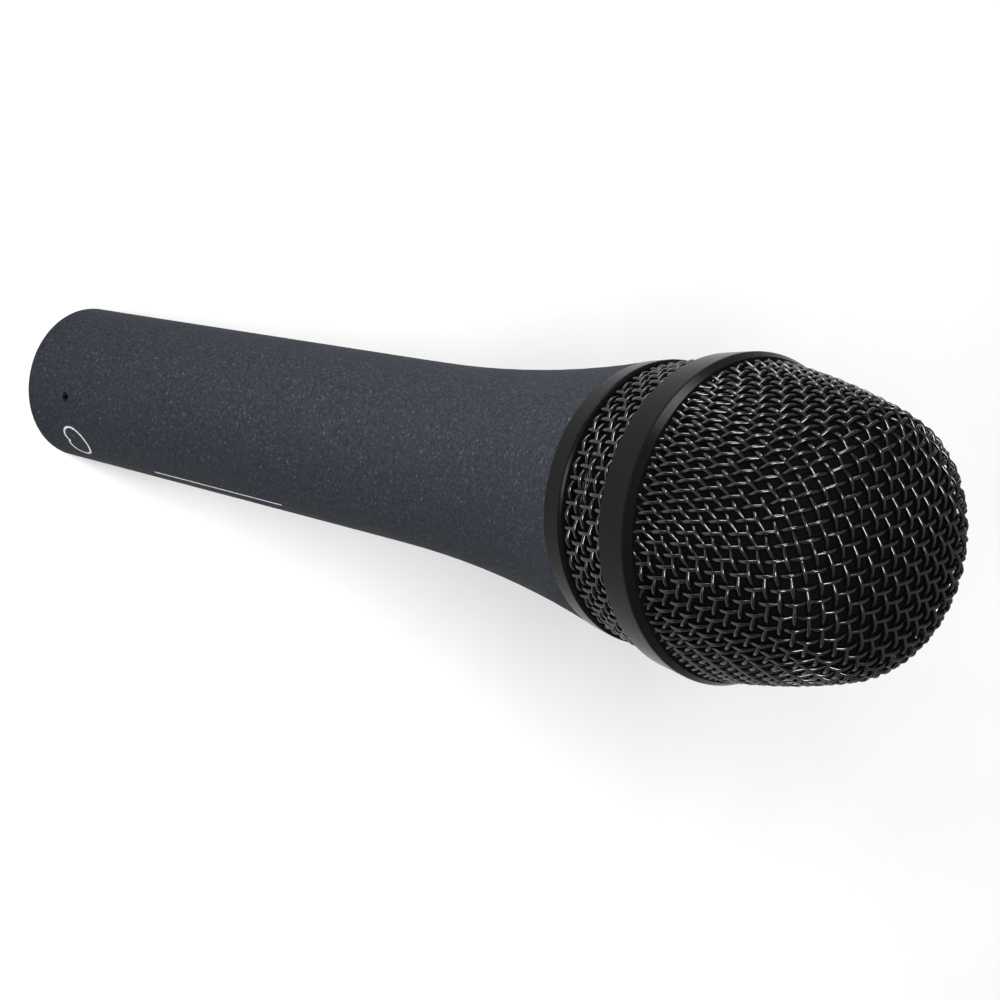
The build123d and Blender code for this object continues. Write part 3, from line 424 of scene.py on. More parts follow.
def smooth_lines(points, samples):
    """Catmull-Rom curves through each row of points, with so many samples for each step between two of them.

    Between b and c, with neighbours a and d, the curve is
    (2b + (c - a) t + (2a - 5b + 4c - d) t^2 + (3b - a - 3c + d) t^3) / 2.
    """
    a = np.concatenate([points[:, :1], points[:, :-2]], axis=1)[:, :, None]
    b = points[:, :-1, None]
    c = points[:, 1:, None]
    d = np.concatenate([points[:, 2:], points[:, -1:]], axis=1)[:, :, None]
    t = (np.arange(samples) / samples)[None, None, :, None]
    curve = (2 * b + (c - a) * t + (2 * a - 5 * b + 4 * c - d) * t**2 + (3 * b - a - 3 * c + d) * t**3) / 2
    return curve.reshape(len(points), -1, 2)


def cloth_wires(flat, wire, turn, first_side):
    """The dome's wires one way of the weave, as tubes that pass over and under those the other way.

    flat holds the pressed cloth with one row for each wire. The wire's centre lies at the depth wire -
    first_side (wire / 2) cos(pi (row + step)), so it is nearest the outside at every second crossing.
    """
    curves = smooth_lines(flat, WIRE_SAMPLES)
    step = np.arange(curves.shape[1]) / WIRE_SAMPLES
    parts = []
    for row, curve in enumerate(curves):
        reach = np.hypot(curve[:, 0], curve[:, 1])
        inside = np.flatnonzero(reach < BREAKS[3] + RIM_TUCK)
        if len(inside) < WIRE_SAMPLES:
            continue
        kept = slice(inside[0], inside[-1] + 1)
        angle = np.arctan2(curve[kept, 1], curve[kept, 0]) + turn
        depth = wire - first_side * wire / 2 * np.cos(np.pi * (row + step[kept]))
        points, outward = on_dome(reach[kept], angle, depth)
        parts.append(tube(points, outward, wire / 2, wire / 2, WIRE_SIDES))
    return parts


class MIC_OT_dome_cloth(bpy.types.Operator):
    """Weave the dome of the head from warp and weft wires"""

    bl_idname = "mic.dome_cloth"
    bl_label = "Dome wire cloth"

    def execute(self, context):
        cloth = context.scene.mic_cloth
        flat = press_cloth(cloth.pitch, cloth.lock)
        paint = enamelled_wire(context.scene.mic_colours.wire)
        warp = cloth_wires(flat, cloth.wire, cloth.turn, 1)
        weft = cloth_wires(flat.transpose(1, 0, 2), cloth.wire, cloth.turn, -1)
        make_piece("dome_warp", warp, paint, "head_shell", ["upper_mesh"])
        make_piece("dome_weft", weft, paint, "head_shell", ["upper_mesh"])
        return {"FINISHED"}


BAND_TUCK = 0.7  # how far the band's uprights run on inside the two rings
BAND_RISE = BAND_HIGH[2] - BAND_LOW[2]
BAND_SLOPE = (BAND_HIGH[0] - BAND_START_RADIUS) / BAND_RISE  # radius gained per mm of height


def on_band(level, angle, depth):
    """Points of the band, whose radius grows evenly with its height, and their outward directions."""
    radius = BAND_START_RADIUS + BAND_SLOPE * (level - BAND_LOW[2]) - depth
    return on_cone(radius, level, angle, BAND_SLOPE)


class MIC_OT_band_cloth(bpy.types.Operator):
    """Weave the band between the rings from uprights and hoops"""

    bl_idname = "mic.band_cloth"
    bl_label = "Band wire cloth"

    def execute(self, context):
        cloth = context.scene.mic_cloth
        if cloth.uprights % 2:
            raise ValueError("the band needs an even number of uprights, or its weave does not close")
        paint = enamelled_wire(context.scene.mic_colours.wire)
        wire = cloth.wire
        half = wire / 2
        pitch = BAND_RISE / cloth.hoops
        samples = WIRE_SAMPLES * (cloth.hoops + 1)
        level = np.linspace(BAND_LOW[2] - BAND_TUCK, BAND_HIGH[2] + BAND_TUCK, samples)
        hoop_number = (level - BAND_LOW[2]) / pitch - 0.5
        uprights = []
        for number in range(cloth.uprights):
            angle = np.full(len(level), 2 * np.pi * number / cloth.uprights)
            depth = wire - half * np.cos(np.pi * (number + hoop_number))
            points, outward = on_band(level, angle, depth)
            uprights.append(tube(points, outward, half, half, WIRE_SIDES))
        samples = cloth.uprights * WIRE_SAMPLES
        upright_number = np.arange(samples) / WIRE_SAMPLES
        angle = 2 * np.pi * upright_number / cloth.uprights
        hoops = []
        for number in range(cloth.hoops):
            depth = wire + half * np.cos(np.pi * (number + upright_number))
            hoop_level = np.full(samples, BAND_LOW[2] + pitch * (number + 0.5))
            points, outward = on_band(hoop_level, angle, depth)
            hoops.append(tube(points, outward, half, half, WIRE_SIDES, closed=True))
        make_piece("band_uprights", uprights, paint, "head_shell", ["lower_mesh"])
        make_piece("band_hoops", hoops, paint, "head_shell", ["lower_mesh"])
        return {"FINISHED"}


# ---------------------------------------------------------------- foam liner

CLOTH_DEPTH = 1.2  # two wires
FOAM_GAP = 0.3
MID_RING_FLARE = 0.9  # how far the middle ring widens from its back
MID_RING_WALL = 1.5
MID_BORE = MID_HIGH[0] - MID_RING_FLARE - MID_RING_WALL
WAIST_RISE = 1.0  # how far above the middle ring the liner stays within its bore
FOOT_SHARE = 0.8  # of the liner's thickness that is left at its foot
DOME_SAMPLES = 60
CELL_SEED = 11
CELL_FADE = 4.0  # radius within which the cells' relief dies away to the axis
SMALLEST_RADIUS = 0.01


def even_outline(corners, spacing):
    """The radius and level of points a spacing apart along the outline through the corners."""
    run = np.concatenate([[0.0], np.cumsum(np.hypot(*np.diff(corners, axis=0).T))])
    place = np.linspace(0, run[-1], int(run[-1] / spacing) + 1)
    return np.interp(place, run, corners[:, 0]), np.interp(place, run, corners[:, 1])


def liner_corners(thickness):
    """Corners of the liner's outline: from the front down its outside, round its foot and up its inside.

    It lies inside the dome by two wires and a gap, runs straight down inside the middle ring, and narrows
    in the band, which widens from its start to its end.
    """
    outer_depth = CLOTH_DEPTH + FOAM_GAP
    waist = min(BAND_HIGH[0] - outer_depth, MID_BORE - FOAM_GAP)
    walls = []
    for depth, widest in ((outer_depth, waist), (outer_depth + thickness, waist - thickness)):
        radius, level, _ = dome_outline(np.linspace(0, BREAKS[3], DOME_SAMPLES), depth)
        radius = np.where(level < MID_HIGH[2] + WAIST_RISE, np.minimum(radius, widest), radius)
        walls.append(np.stack([radius, level], axis=-1))
    outside, inside = walls
    foot_radius = waist - BAND_SLOPE * (BAND_HIGH[2] - FOAM_FOOT)
    foot = [
        (waist, BAND_HIGH[2]),
        (foot_radius, FOAM_FOOT),
        (foot_radius - FOOT_SHARE * thickness, FOAM_FOOT),
        (waist - thickness, BAND_HIGH[2]),
    ]
    return np.vstack([outside, foot, inside[::-1]])


class MIC_OT_foam_liner(bpy.types.Operator):
    """Mould the open-cell foam that lines the head"""

    bl_idname = "mic.foam_liner"
    bl_label = "Foam liner"

    def execute(self, context):
        liner = context.scene.mic_liner
        radius, level = even_outline(liner_corners(liner.thickness), liner.pore)
        columns = int(2 * np.pi * radius.max() / liner.pore)
        cells = np.random.default_rng(CELL_SEED).random((len(radius), columns))
        cells = (2 * cells + np.roll(cells, 1, axis=1) + np.roll(cells, 1, axis=0)) / 4
        hollow = liner.relief * cells * np.clip(radius / CELL_FADE, 0, 1)[:, None]
        run_radius = np.gradient(radius)
        run_level = np.gradient(level)
        run = np.hypot(run_radius, run_level)
        # The outline's direction, turned a quarter turn inwards, is (run_level, -run_radius).
        radius = radius[:, None] + hollow * (run_level / run)[:, None]
        level = level[:, None] - hollow * (run_radius / run)[:, None]
        shape = turned(np.clip(radius, SMALLEST_RADIUS, None)[1:-1], level[1:-1], closed=False)
        foam = open_cell_foam(context.scene.mic_colours.foam, liner.pore)
        piece = make_piece("foam_liner", [shape], foam, "head_liner", ["head_foam"])
        return {"FINISHED"}


# ---------------------------------------------------------------- collar thread

THREAD_COLUMNS = 160
THREAD_ROWS_PER_PITCH = 12
CREST_SHARE = 0.25  # share of the pitch that is flat on the crest, and again at the root
SPIGOT_STEP = 0.8
COLLAR_LEDGE = 1.6
COLLAR_WALL = 1.6
SEAT_DEPTH = 4.5
EDGE = 0.5
FACE_CLEARANCE = 0.01


class MIC_OT_collar_thread(bpy.types.Operator):
    """Cut the right-hand thread that the head screws on to"""

    bl_idname = "mic.collar_thread"
    bl_label = "Collar thread"

    def execute(self, context):
        thread = context.scene.mic_thread
        crest = COLLAR_HIGH[0]
        bottom, top = COLLAR_LOW[2], COLLAR_HIGH[2]
        spigot = crest - SPIGOT_STEP
        seat = crest - COLLAR_WALL
        bore = seat - COLLAR_LEDGE
        rows = int((top - HANDLE_FACE) / thread.pitch * THREAD_ROWS_PER_PITCH)
        cut_level = np.linspace(top - EDGE, HANDLE_FACE + FACE_CLEARANCE, rows)
        outer = [(crest - EDGE, top)] + [(crest, z) for z in cut_level]
        outer += [(spigot, HANDLE_FACE), (spigot, bottom)]
        inner = [(bore, bottom), (bore, top - SEAT_DEPTH), (seat, top - SEAT_DEPTH), (seat, top)]
        outline = np.array(outer + inner)
        angle = np.arange(THREAD_COLUMNS) * 2 * np.pi / THREAD_COLUMNS
        level = np.repeat(outline[:, 1:], THREAD_COLUMNS, axis=1)
        radius = np.repeat(outline[:, :1], THREAD_COLUMNS, axis=1)
        # A right-hand ridge climbs one pitch for a turn. Its flanks rise evenly from a flat root to a flat
        # crest.
        phase = (level / thread.pitch - angle / (2 * np.pi)) % 1
        flank = np.clip((np.abs(2 * phase - 1) - CREST_SHARE) / (1 - 2 * CREST_SHARE), 0, 1)
        cut = np.zeros(len(outline), dtype=bool)
        cut[1 : rows + 1] = True
        radius = np.where(cut[:, None], radius - thread.depth * flank, radius)
        shape = turned(radius, level, closed=True)
        finish = turned_blackened_metal()
        make_piece("collar_with_thread", [shape], finish, "handle_body", ["thread_collar"])
        return {"FINISHED"}


# ---------------------------------------------------------------- printed marks


def on_handle(round_by, level, side):
    """Points of the handle's taper and their outward directions, round_by millimetres round from a side."""
    radius = TAIL_RADIUS + TAPER * level
    return on_cone(radius, level, side + round_by / radius, TAPER)


PRINT_HEIGHT = 0.02
PICKUP_LEVEL = 8.2
PICKUP_SIZE = 2.2
PICKUP_SAMPLES = 96
RULE_START, RULE_END = 27.0, 58.0
RULE_SAMPLES = 120
RULE_TURN = np.radians(16)  # from the sign round to the rule


class MIC_OT_printed_marks(bpy.types.Operator):
    """Print a plain pickup-pattern sign and a thin rule on the handle"""

    bl_idname = "mic.printed_marks"
    bl_label = "Printed marks"

    def execute(self, context):
        marks = context.scene.mic_marks
        wide = marks.line / 2
        turn = np.linspace(0, 2 * np.pi, PICKUP_SAMPLES, endpoint=False)
        # The heart-shaped curve of a directional pickup lies size (1 + cos(turn)) from its middle.
        distance = PICKUP_SIZE * (1 + np.cos(turn))
        sign_level = PICKUP_LEVEL + distance * np.cos(turn)
        sign, sign_out = on_handle(distance * np.sin(turn), sign_level, marks.side)
        rule_level = np.linspace(RULE_START, RULE_END, RULE_SAMPLES)
        rule, rule_out = on_handle(np.zeros(RULE_SAMPLES), rule_level, marks.side + RULE_TURN)
        ink = screen_print(context.scene.mic_colours.print)
        parts = [
            tube(sign, sign_out, PRINT_HEIGHT, wide, WIRE_SIDES, closed=True),
            tube(rule, rule_out, PRINT_HEIGHT, wide, WIRE_SIDES),
        ]
        make_piece("printed_marks", parts, ink, "handle_body")
        return {"FINISHED"}


# ---------------------------------------------------------------- finishes

SPECK_COLOUR = "#465060"
WAVE_BANDS = 20  # bands that a wave pattern has for each unit of its scale


def linear(hex_colour):
    """sRGB hex to linear RGBA: c / 12.92 up to 0.04045, and ((c + 0.055) / 1.055)^2.4 above it."""
    channels = np.array([int(hex_colour[i : i + 2], 16) / 255 for i in (1, 3, 5)])
    low = channels / 12.92
    high = ((channels + 0.055) / 1.055) ** 2.4
    return (*np.where(channels <= 0.04045, low, high).tolist(), 1.0)


def shade(hex_colour, share):
    """The hex colour with each channel times a share."""
    channels = [min(255, round(int(hex_colour[i : i + 2], 16) * share)) for i in (1, 3, 5)]
    return "#{:02x}{:02x}{:02x}".format(*channels)


def add_node(tree, kind, inputs=None, stops=None, **settings):
    """Adds a node with its settings.

    An input that is a socket is linked, and any other is the socket's value. stops are the (place, hex
    colour) pairs of a colour ramp.
    """
    node = tree.nodes.new(kind)
    for name, value in settings.items():
        setattr(node, name, value)
    for name, value in (inputs or {}).items():
        if isinstance(value, bpy.types.NodeSocket):
            tree.links.new(value, node.inputs[name])
        else:
            node.inputs[name].default_value = value
    if stops:
        elements = node.color_ramp.elements
        while len(elements) < len(stops):
            elements.new(1.0)
        for element, (place, hex_colour) in zip(elements, stops):
            element.position = place
            element.color = linear(hex_colour)
    return node


def start_finish(name):
    """A new material's node tree with its shader, and the object's own coordinates for its patterns."""
    material = bpy.data.materials.new(name)
    material.use_nodes = True
    tree = material.node_tree
    shader = tree.nodes["Principled BSDF"]
    place = add_node(tree, "ShaderNodeTexCoord").outputs["Object"]
    return material, tree, shader, place


def set_shader(tree, shader, **sockets):
    """Sets or links the shader's sockets, named with underscores for spaces."""
    for name, value in sockets.items():
        socket = shader.inputs[name.replace("_", " ")]
        if isinstance(value, bpy.types.NodeSocket):
            tree.links.new(value, socket)
        else:
            socket.default_value = value


def per_metre(spacing_mm):
    """A pattern's scale, from the spacing of its features in millimetres."""
    return 1 / (spacing_mm * MM)


def textured_powder_paint(hex_colour):
    """Fine-textured paint on a zinc casting: slate grey with a tight matte grain and cooler specks in it."""
    material, tree, shader, place = start_finish("textured_powder_paint")
    grain = add_node(
        tree, "ShaderNodeTexNoise",
        {"Vector": place, "Scale": per_metre(0.32), "Detail": 3.0, "Roughness": 0.65})
    # real specks are about 0.1 mm across, and are drawn at 0.5 mm to show
    speck = add_node(
        tree, "ShaderNodeTexNoise",
        {"Vector": place, "Scale": per_metre(0.5), "Detail": 4.0, "Roughness": 0.7})
    mottle = add_node(tree, "ShaderNodeTexNoise", {"Vector": place, "Scale": per_metre(9.0), "Detail": 2.0})
    dark = shade(hex_colour, 0.78)
    light = shade(hex_colour, 1.1)
    colour = add_node(
        tree, "ShaderNodeValToRGB", {"Fac": speck.outputs["Fac"]},
        stops=[(0.36, dark), (0.5, hex_colour), (0.61, light), (0.7, SPECK_COLOUR)])
    gloss = add_node(
        tree, "ShaderNodeMapRange",
        {"Value": mottle.outputs["Fac"], "To Min": 0.58, "To Max": 0.7})
    relief = add_node(
        tree, "ShaderNodeBump",
        {"Height": grain.outputs["Fac"], "Strength": 0.55, "Distance": 0.06 * MM})
    set_shader(tree, shader, Base_Color=colour.outputs["Color"], Roughness=gloss.outputs["Result"],
               Normal=relief.outputs["Normal"], Specular_IOR_Level=0.02)
    return material


def satin_black_paint(hex_colour):
    """Satin baked paint on turned rings: nearly black, with a soft sheen and a very fine orange peel."""
    material, tree, shader, place = start_finish("satin_black_paint")
    peel = add_node(tree, "ShaderNodeTexNoise", {"Vector": place, "Scale": per_metre(0.5), "Detail": 2.0})
    dust = add_node(
        tree, "ShaderNodeTexNoise",
        {"Vector": place, "Scale": per_metre(0.2), "Detail": 4.0, "Roughness": 0.7})
    colour = add_node(
        tree, "ShaderNodeValToRGB", {"Fac": dust.outputs["Fac"]},
        stops=[(0.4, hex_colour), (0.66, shade(hex_colour, 1.5))])
    gloss = add_node(
        tree, "ShaderNodeMapRange",
        {"Value": peel.outputs["Fac"], "To Min": 0.2, "To Max": 0.32})
    relief = add_node(
        tree, "ShaderNodeBump",
        {"Height": peel.outputs["Fac"], "Strength": 0.15, "Distance": 0.02 * MM})
    set_shader(tree, shader, Base_Color=colour.outputs["Color"], Roughness=gloss.outputs["Result"],
               Normal=relief.outputs["Normal"], Specular_IOR_Level=0.04)
    return material


def enamelled_wire(hex_colour):
    """Black enamel over steel wire: deep black, with thin bright streaks of light along each crest."""
    found = bpy.data.materials.get("enamelled_wire")
    if found:
        return found
    material, tree, shader, place = start_finish("enamelled_wire")
    coat = add_node(tree, "ShaderNodeTexNoise", {"Vector": place, "Scale": per_metre(0.9), "Detail": 3.0})
    pits = add_node(tree, "ShaderNodeTexNoise", {"Vector": place, "Scale": per_metre(0.15), "Detail": 2.0})
    colour = add_node(
        tree, "ShaderNodeValToRGB", {"Fac": coat.outputs["Fac"]},
        stops=[(0.35, hex_colour), (0.7, shade(hex_colour, 1.6))])
    gloss = add_node(
        tree, "ShaderNodeMapRange",
        {"Value": coat.outputs["Fac"], "To Min": 0.14, "To Max": 0.24})
    relief = add_node(
        tree, "ShaderNodeBump",
        {"Height": pits.outputs["Fac"], "Strength": 0.25, "Distance": 0.015 * MM})
    set_shader(tree, shader, Base_Color=colour.outputs["Color"], Roughness=gloss.outputs["Result"],
               Normal=relief.outputs["Normal"], Specular_IOR_Level=0.42)
    return material


def open_cell_foam(hex_colour, pore):
    """Open-cell polyurethane foam: dull black, with a pitted surface whose cell walls catch no highlight, and
    painted shade darkening each pit.
    """
    material, tree, shader, place = start_finish("open_cell_foam")
    cells = add_node(tree, "ShaderNodeTexVoronoi", {"Vector": place, "Scale": per_metre(pore)})
    # painted shade: each cell's pit is coloured darker than its walls, by the same distance that sinks it in
    # the bump
    colour = add_node(
        tree, "ShaderNodeValToRGB", {"Fac": cells.outputs["Distance"]},
        stops=[(0.1, shade(hex_colour, 0.5)), (0.7, shade(hex_colour, 1.5))])
    relief = add_node(
        tree, "ShaderNodeBump",
        {"Height": cells.outputs["Distance"], "Strength": 0.9, "Distance": 0.3 * MM})
    set_shader(tree, shader, Base_Color=colour.outputs["Color"], Roughness=0.95,
               Normal=relief.outputs["Normal"], Specular_IOR_Level=0.05)
    return material


def screen_print(hex_colour):
    """Screen-printed ink: a flat light grey that is a little thin over the paint's grain."""
    material, tree, shader, place = start_finish("screen_print_ink")
    grain = add_node(tree, "ShaderNodeTexNoise", {"Vector": place, "Scale": per_metre(0.3), "Detail": 3.0})
    colour = add_node(
        tree, "ShaderNodeValToRGB", {"Fac": grain.outputs["Fac"]},
        stops=[(0.35, shade(hex_colour, 0.7)), (0.55, hex_colour)])
    set_shader(tree, shader, Base_Color=colour.outputs["Color"], Roughness=0.6)
    return material


def turned_blackened_metal():
    """Turned zinc blackened in a bath: dark grey metal, with the fine rings that the lathe tool leaves."""
    material, tree, shader, place = start_finish("turned_blackened_zinc")
    # the tool's feed is about 0.08 mm, and its rings are drawn 0.2 mm apart to show
    rings = add_node(
        tree, "ShaderNodeTexWave",
        {"Vector": place, "Scale": per_metre(0.2) / WAVE_BANDS, "Distortion": 0.6, "Detail": 2.0},
        bands_direction="Z")
    stain = add_node(tree, "ShaderNodeTexNoise", {"Vector": place, "Scale": per_metre(3.0), "Detail": 4.0})
    colour = add_node(
        tree, "ShaderNodeValToRGB", {"Fac": stain.outputs["Fac"]},
        stops=[(0.35, "#242425"), (0.65, "#39393b")])
    gloss = add_node(
        tree, "ShaderNodeMapRange",
        {"Value": rings.outputs["Fac"], "To Min": 0.22, "To Max": 0.36})
    relief = add_node(
        tree, "ShaderNodeBump",
        {"Height": rings.outputs["Fac"], "Strength": 0.3, "Distance": 0.01 * MM})
    set_shader(tree, shader, Base_Color=colour.outputs["Color"], Metallic=1.0,
               Roughness=gloss.outputs["Result"], Normal=relief.outputs["Normal"])
    return material


# The plain finishes' patterns: each one's node, output, features for each unit of scale, and settings.
PATTERNS = {
    "grain": ("ShaderNodeTexNoise", "Fac", 1, {}),
    "cells": ("ShaderNodeTexVoronoi", "Distance", 1, {}),
    "rings": ("ShaderNodeTexWave", "Fac", WAVE_BANDS, {"bands_direction": "Z"}),
}


def plain_finish(name, colours, spacing_mm, roughness, relief_mm, pattern="grain", **sockets):
    """A finish whose colour, gloss and relief all follow one pattern, with features spacing_mm apart."""
    material, tree, shader, place = start_finish(name)
    kind, output, features, settings = PATTERNS[pattern]
    scale = per_metre(spacing_mm) / features
    height = add_node(tree, kind, {"Vector": place, "Scale": scale}, **settings).outputs[output]
    colour = add_node(
        tree, "ShaderNodeValToRGB", {"Fac": height},
        stops=[(0.3, colours[0]), (0.7, colours[1])])
    gloss = add_node(
        tree, "ShaderNodeMapRange",
        {"Value": height, "To Min": roughness[0], "To Max": roughness[1]})
    relief = add_node(
        tree, "ShaderNodeBump",
        {"Height": height, "Strength": 0.4, "Distance": relief_mm * MM})
    set_shader(tree, shader, Base_Color=colour.outputs["Color"], Roughness=gloss.outputs["Result"],
               Normal=relief.outputs["Normal"], **sockets)
    return material


def node_finishes(colours):
    """The finish of each material slot of the CAD nodes that stay in view."""
    return {
        "handle_paint": textured_powder_paint(colours.handle),
        "head_paint": satin_black_paint(colours.rings),
        "collar_metal": turned_blackened_metal(),
        # nickel over a drawn steel shell: a cool mirror, faintly streaked along the draw
        "plated_shell": plain_finish(
            "nickel_plated_shell", ("#9a9a98", "#c4c4c1"), 0.8, (0.16, 0.3), 0.005, Metallic=1.0),
        # silver over brass contacts: bright and slightly warm, with fine turning rings
        "contact_plate": plain_finish(
            "silver_plated_contact", ("#b9b6ad", "#dddad2"),
            0.15, (0.12, 0.24), 0.004, "rings", Metallic=1.0),
        # glass-filled nylon: black and dull, with a fine moulded grain
        "insulator": plain_finish(
            "glass_filled_nylon", ("#131314", "#222224"), 0.18, (0.45, 0.65), 0.02),
        # black-oxide steel: dark, with a thin oily sheen
        "screw_steel": plain_finish(
            "black_oxide_steel", ("#16161a", "#2b2b30"), 0.25, (0.3, 0.5), 0.01, Metallic=1.0),
        # moulded silicone rubber: very dull black, with a soft bloom in patches
        "rubber": plain_finish(
            "moulded_rubber", ("#141415", "#27272a"), 1.6, (0.7, 0.9), 0.02),
        # moulded ABS: smooth dark grey with a satin skin
        "capsule_plastic": plain_finish(
            "moulded_abs", ("#1c1d1f", "#292a2d"), 0.4, (0.35, 0.5), 0.008),
        # nickel-plated sintered magnet: a slightly pebbled mirror
        "magnet_metal": plain_finish(
            "plated_sintered_magnet", ("#8f8f8e", "#b8b8b6"),
            0.35, (0.2, 0.36), 0.01, "cells", Metallic=1.0),
        # zinc-plated mild steel: pale, with faint iridescent clouding
        "yoke_metal": plain_finish(
            "zinc_plated_steel", ("#9aa0a6", "#c2c3bd"), 2.2, (0.25, 0.42), 0.006, Metallic=1.0),
        # enamelled copper winding: turns laid side by side, drawn 0.25 mm apart to show
        "copper": plain_finish(
            "enamelled_copper_winding", ("#7d3a1c", "#c8713d"),
            0.25, (0.18, 0.35), 0.06, "rings", Metallic=1.0),
        # polyester film: thin and clear amber-grey, with a fine ripple
        "film": plain_finish(
            "polyester_film", ("#b5aa90", "#d6ccb4"), 1.2, (0.1, 0.2), 0.01, Transmission_Weight=0.4),
        # woven polyester cloth: black threads about 0.15 mm apart, drawn at 0.3 mm
        "cloth": plain_finish(
            "woven_polyester_cloth", ("#101011", "#2a2a2c"),
            0.3, (0.7, 0.9), 0.05, "cells", Sheen_Weight=0.3),
        # pressed wool felt: a grey mat of fibres
        "felt": plain_finish(
            "pressed_felt", ("#3b3a38", "#6f6d68"), 0.4, (0.85, 1.0), 0.08, Sheen_Weight=0.4),
        # resin-bonded board: tan brown, with the cloth's weave faintly showing
        "board": plain_finish(
            "resin_bonded_board", ("#6f4a26", "#8f6434"), 0.5, (0.4, 0.55), 0.01, "cells"),
        # tinned solder: soft grey with a frosted skin
        "solder_metal": plain_finish(
            "tinned_solder", ("#a0a2a4", "#c6c8c9"), 0.5, (0.25, 0.45), 0.02, "cells", Metallic=1.0),
        # silicon steel sheets: stacked edges 0.5 mm apart
        "laminations": plain_finish(
            "silicon_steel_laminations", ("#4c4d50", "#8d8f92"),
            0.5, (0.3, 0.5), 0.05, "rings", Metallic=1.0),
        # PVC insulation: smooth and slightly waxy
        "wire_red": plain_finish(
            "red_pvc_insulation", ("#9c1f1a", "#b52a22"), 0.9, (0.32, 0.45), 0.01),
        "wire_white": plain_finish(
            "white_pvc_insulation", ("#c9c7bf", "#dedcd4"), 0.9, (0.32, 0.45), 0.01),
    }


class MIC_OT_node_finishes(bpy.types.Operator):
    """Give every CAD piece that stays in view its finish"""

    bl_idname = "mic.node_finishes"
    bl_label = "Finishes"

    def execute(self, context):
        finishes = node_finishes(context.scene.mic_colours)
        for row in frame["record"]["subparts"]:
            finish = finishes.get(row["material_slot"])
            if finish is None:
                continue
            node = frame["nodes"][row["node"]]
            if not node.material_slots:
                node.data.materials.append(finish)
            for material_slot in node.material_slots:
                material_slot.material = finish
        return {"FINISHED"}


# ---------------------------------------------------------------- studio
# Places and sizes here are in metres, unless they say mm.

FLOOR_REACH = 3.0
FLOOR_PATCHES = 30.0  # spacing of the paper's faint patches, mm
HANDLE_MIDDLE = (0.0, 0.0, 0.09)
MIDDLE_RING = (0.0, 0.0, 0.149)
OVERHEAD_PLACE = (0.1, 0.35, 1.3)
OVERHEAD_SIZE = 1.8
FRONT_PLACE = (-0.03, -0.62, 0.8)
FRONT_SIZE = 0.32
SIDE_PLACE = (-0.5, -0.25, 0.12)
SIDE_WIDTH = 0.6
SIDE_HEIGHT = 0.08
SIDE_SPREAD = np.radians(50)
SENSOR_WIDTH = 36.0  # mm
NEAREST = 0.01


def add_floor():
    """A square of matt paper that the microphone stands on."""
    reach = FLOOR_REACH
    mesh = bpy.data.meshes.new("floor")
    corners = [(-reach, -reach, 0), (reach, -reach, 0), (reach, reach, 0), (-reach, reach, 0)]
    mesh.from_pydata(corners, [], [(0, 1, 2, 3)])
    mesh.materials.append(
        plain_finish("matt_pale_paper", ("#d8d8d8", "#dbdbdb"), FLOOR_PATCHES, (0.9, 1.0), 0.01))
    floor = bpy.data.objects.new("floor", mesh)
    bpy.context.scene.collection.objects.link(floor)


def add_area_light(name, place, target, width, height, power, spread=np.pi):
    """An oblong soft light at a place, turned to face a target.

    It shines along its own -Z axis, and its beam spreads by an angle about that.
    """
    data = bpy.data.lights.new(name, "AREA")
    data.spread = spread
    data.shape = "RECTANGLE"
    data.size = width
    data.size_y = height
    data.energy = power
    light = bpy.data.objects.new(name, data)
    light.location = place
    light.rotation_euler = (Vector(target) - Vector(place)).to_track_quat("-Z", "Y").to_euler()
    bpy.context.scene.collection.objects.link(light)


def add_surrounding_light(strength):
    """An even white light from all round."""
    world = bpy.data.worlds.new("studio_world")
    world.use_nodes = True
    background = world.node_tree.nodes["Background"]
    background.inputs["Color"].default_value = (1, 1, 1, 1)
    background.inputs["Strength"].default_value = strength
    bpy.context.scene.world = world


def camera_turn(aim, top):
    """The rotation whose -Z looks along aim, and whose Y is top made square to it."""
    back = -Vector(aim).normalized()
    across = Vector(top).cross(back).normalized()
    return Matrix((across, back.cross(across), back)).transposed()


def add_camera(place, aim, top, lens):
    """The camera at a place, looking along aim with top upwards."""
    data = bpy.data.cameras.new("camera")
    data.lens = lens
    data.sensor_width = SENSOR_WIDTH
    data.clip_start = NEAREST
    camera = bpy.data.objects.new("camera", data)
    camera.matrix_world = Matrix.Translation(place) @ camera_turn(aim, top).to_4x4()
    bpy.context.scene.collection.objects.link(camera)
    bpy.context.scene.camera = camera


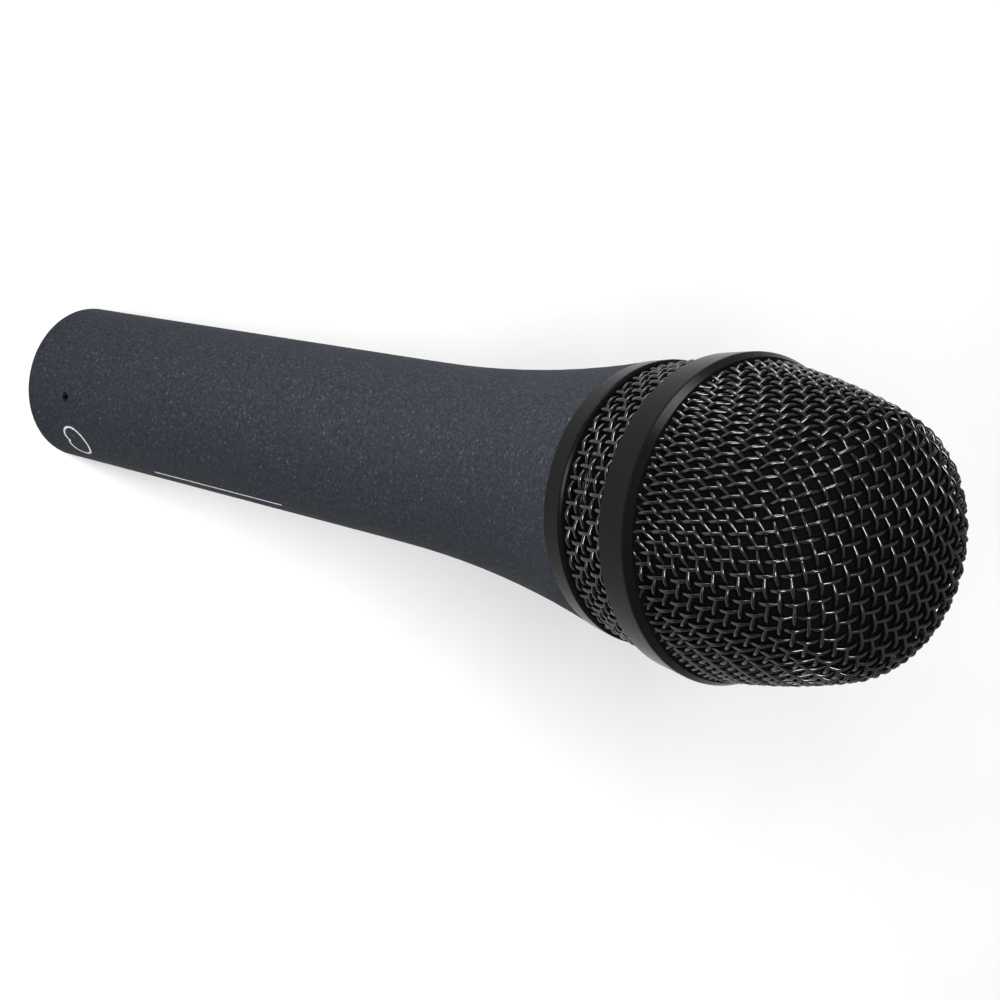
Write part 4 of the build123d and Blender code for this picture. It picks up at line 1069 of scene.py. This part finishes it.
class MIC_OT_studio(bpy.types.Operator):
    """Set up the floor, the soft lights and the camera"""

    bl_idname = "mic.studio"
    bl_label = "Studio"

    def execute(self, context):
        studio = context.scene.mic_studio
        add_floor()
        add_area_light(
            "overhead_light", OVERHEAD_PLACE, HANDLE_MIDDLE, OVERHEAD_SIZE, OVERHEAD_SIZE, studio.overhead)
        add_area_light(
            "front_light", FRONT_PLACE, HANDLE_MIDDLE, FRONT_SIZE, FRONT_SIZE, studio.front)
        add_area_light(
            "side_light", SIDE_PLACE, MIDDLE_RING, SIDE_WIDTH, SIDE_HEIGHT, studio.side, SIDE_SPREAD)
        add_surrounding_light(studio.around)
        context.scene.view_settings.view_transform = "Standard"
        add_camera(studio.place, studio.aim, studio.top, studio.lens)
        return {"FINISHED"}


# ---------------------------------------------------------------- panel and registration

OPERATORS = (
    MIC_OT_node_finishes,
    MIC_OT_dome_cloth,
    MIC_OT_band_cloth,
    MIC_OT_foam_liner,
    MIC_OT_collar_thread,
    MIC_OT_printed_marks,
    MIC_OT_studio,
)
SETTINGS = {
    "mic_cloth": ClothSettings,
    "mic_liner": LinerSettings,
    "mic_thread": ThreadSettings,
    "mic_marks": MarkSettings,
    "mic_colours": ColourSettings,
    "mic_studio": StudioSettings,
}


class MIC_PT_looks(bpy.types.Panel):
    """The microphone's pieces and their settings"""

    bl_label = "Microphone looks"
    bl_idname = "MIC_PT_looks"
    bl_space_type = "VIEW_3D"
    bl_region_type = "UI"
    bl_category = "Microphone"

    def draw(self, context):
        for operator in OPERATORS:
            self.layout.operator(operator.bl_idname)
        for name in SETTINGS:
            group = getattr(context.scene, name)
            box = self.layout.box()
            for setting in group.bl_rna.properties:
                if not setting.is_readonly:
                    box.prop(group, setting.identifier)


def register():
    for kind in (*SETTINGS.values(), *OPERATORS, MIC_PT_looks):
        bpy.utils.register_class(kind)
    for name, kind in SETTINGS.items():
        setattr(bpy.types.Scene, name, PointerProperty(type=kind))


def unregister():
    for name in SETTINGS:
        delattr(bpy.types.Scene, name)
    for kind in reversed((*SETTINGS.values(), *OPERATORS, MIC_PT_looks)):
        bpy.utils.unregister_class(kind)


def main():
    """Builds every piece in order."""
    register()
    for operator in OPERATORS:
        group, name = operator.bl_idname.split(".")
        getattr(getattr(bpy.ops, group), name)()
    bpy.context.view_layer.update()


if __name__ == "__main__":
    main()
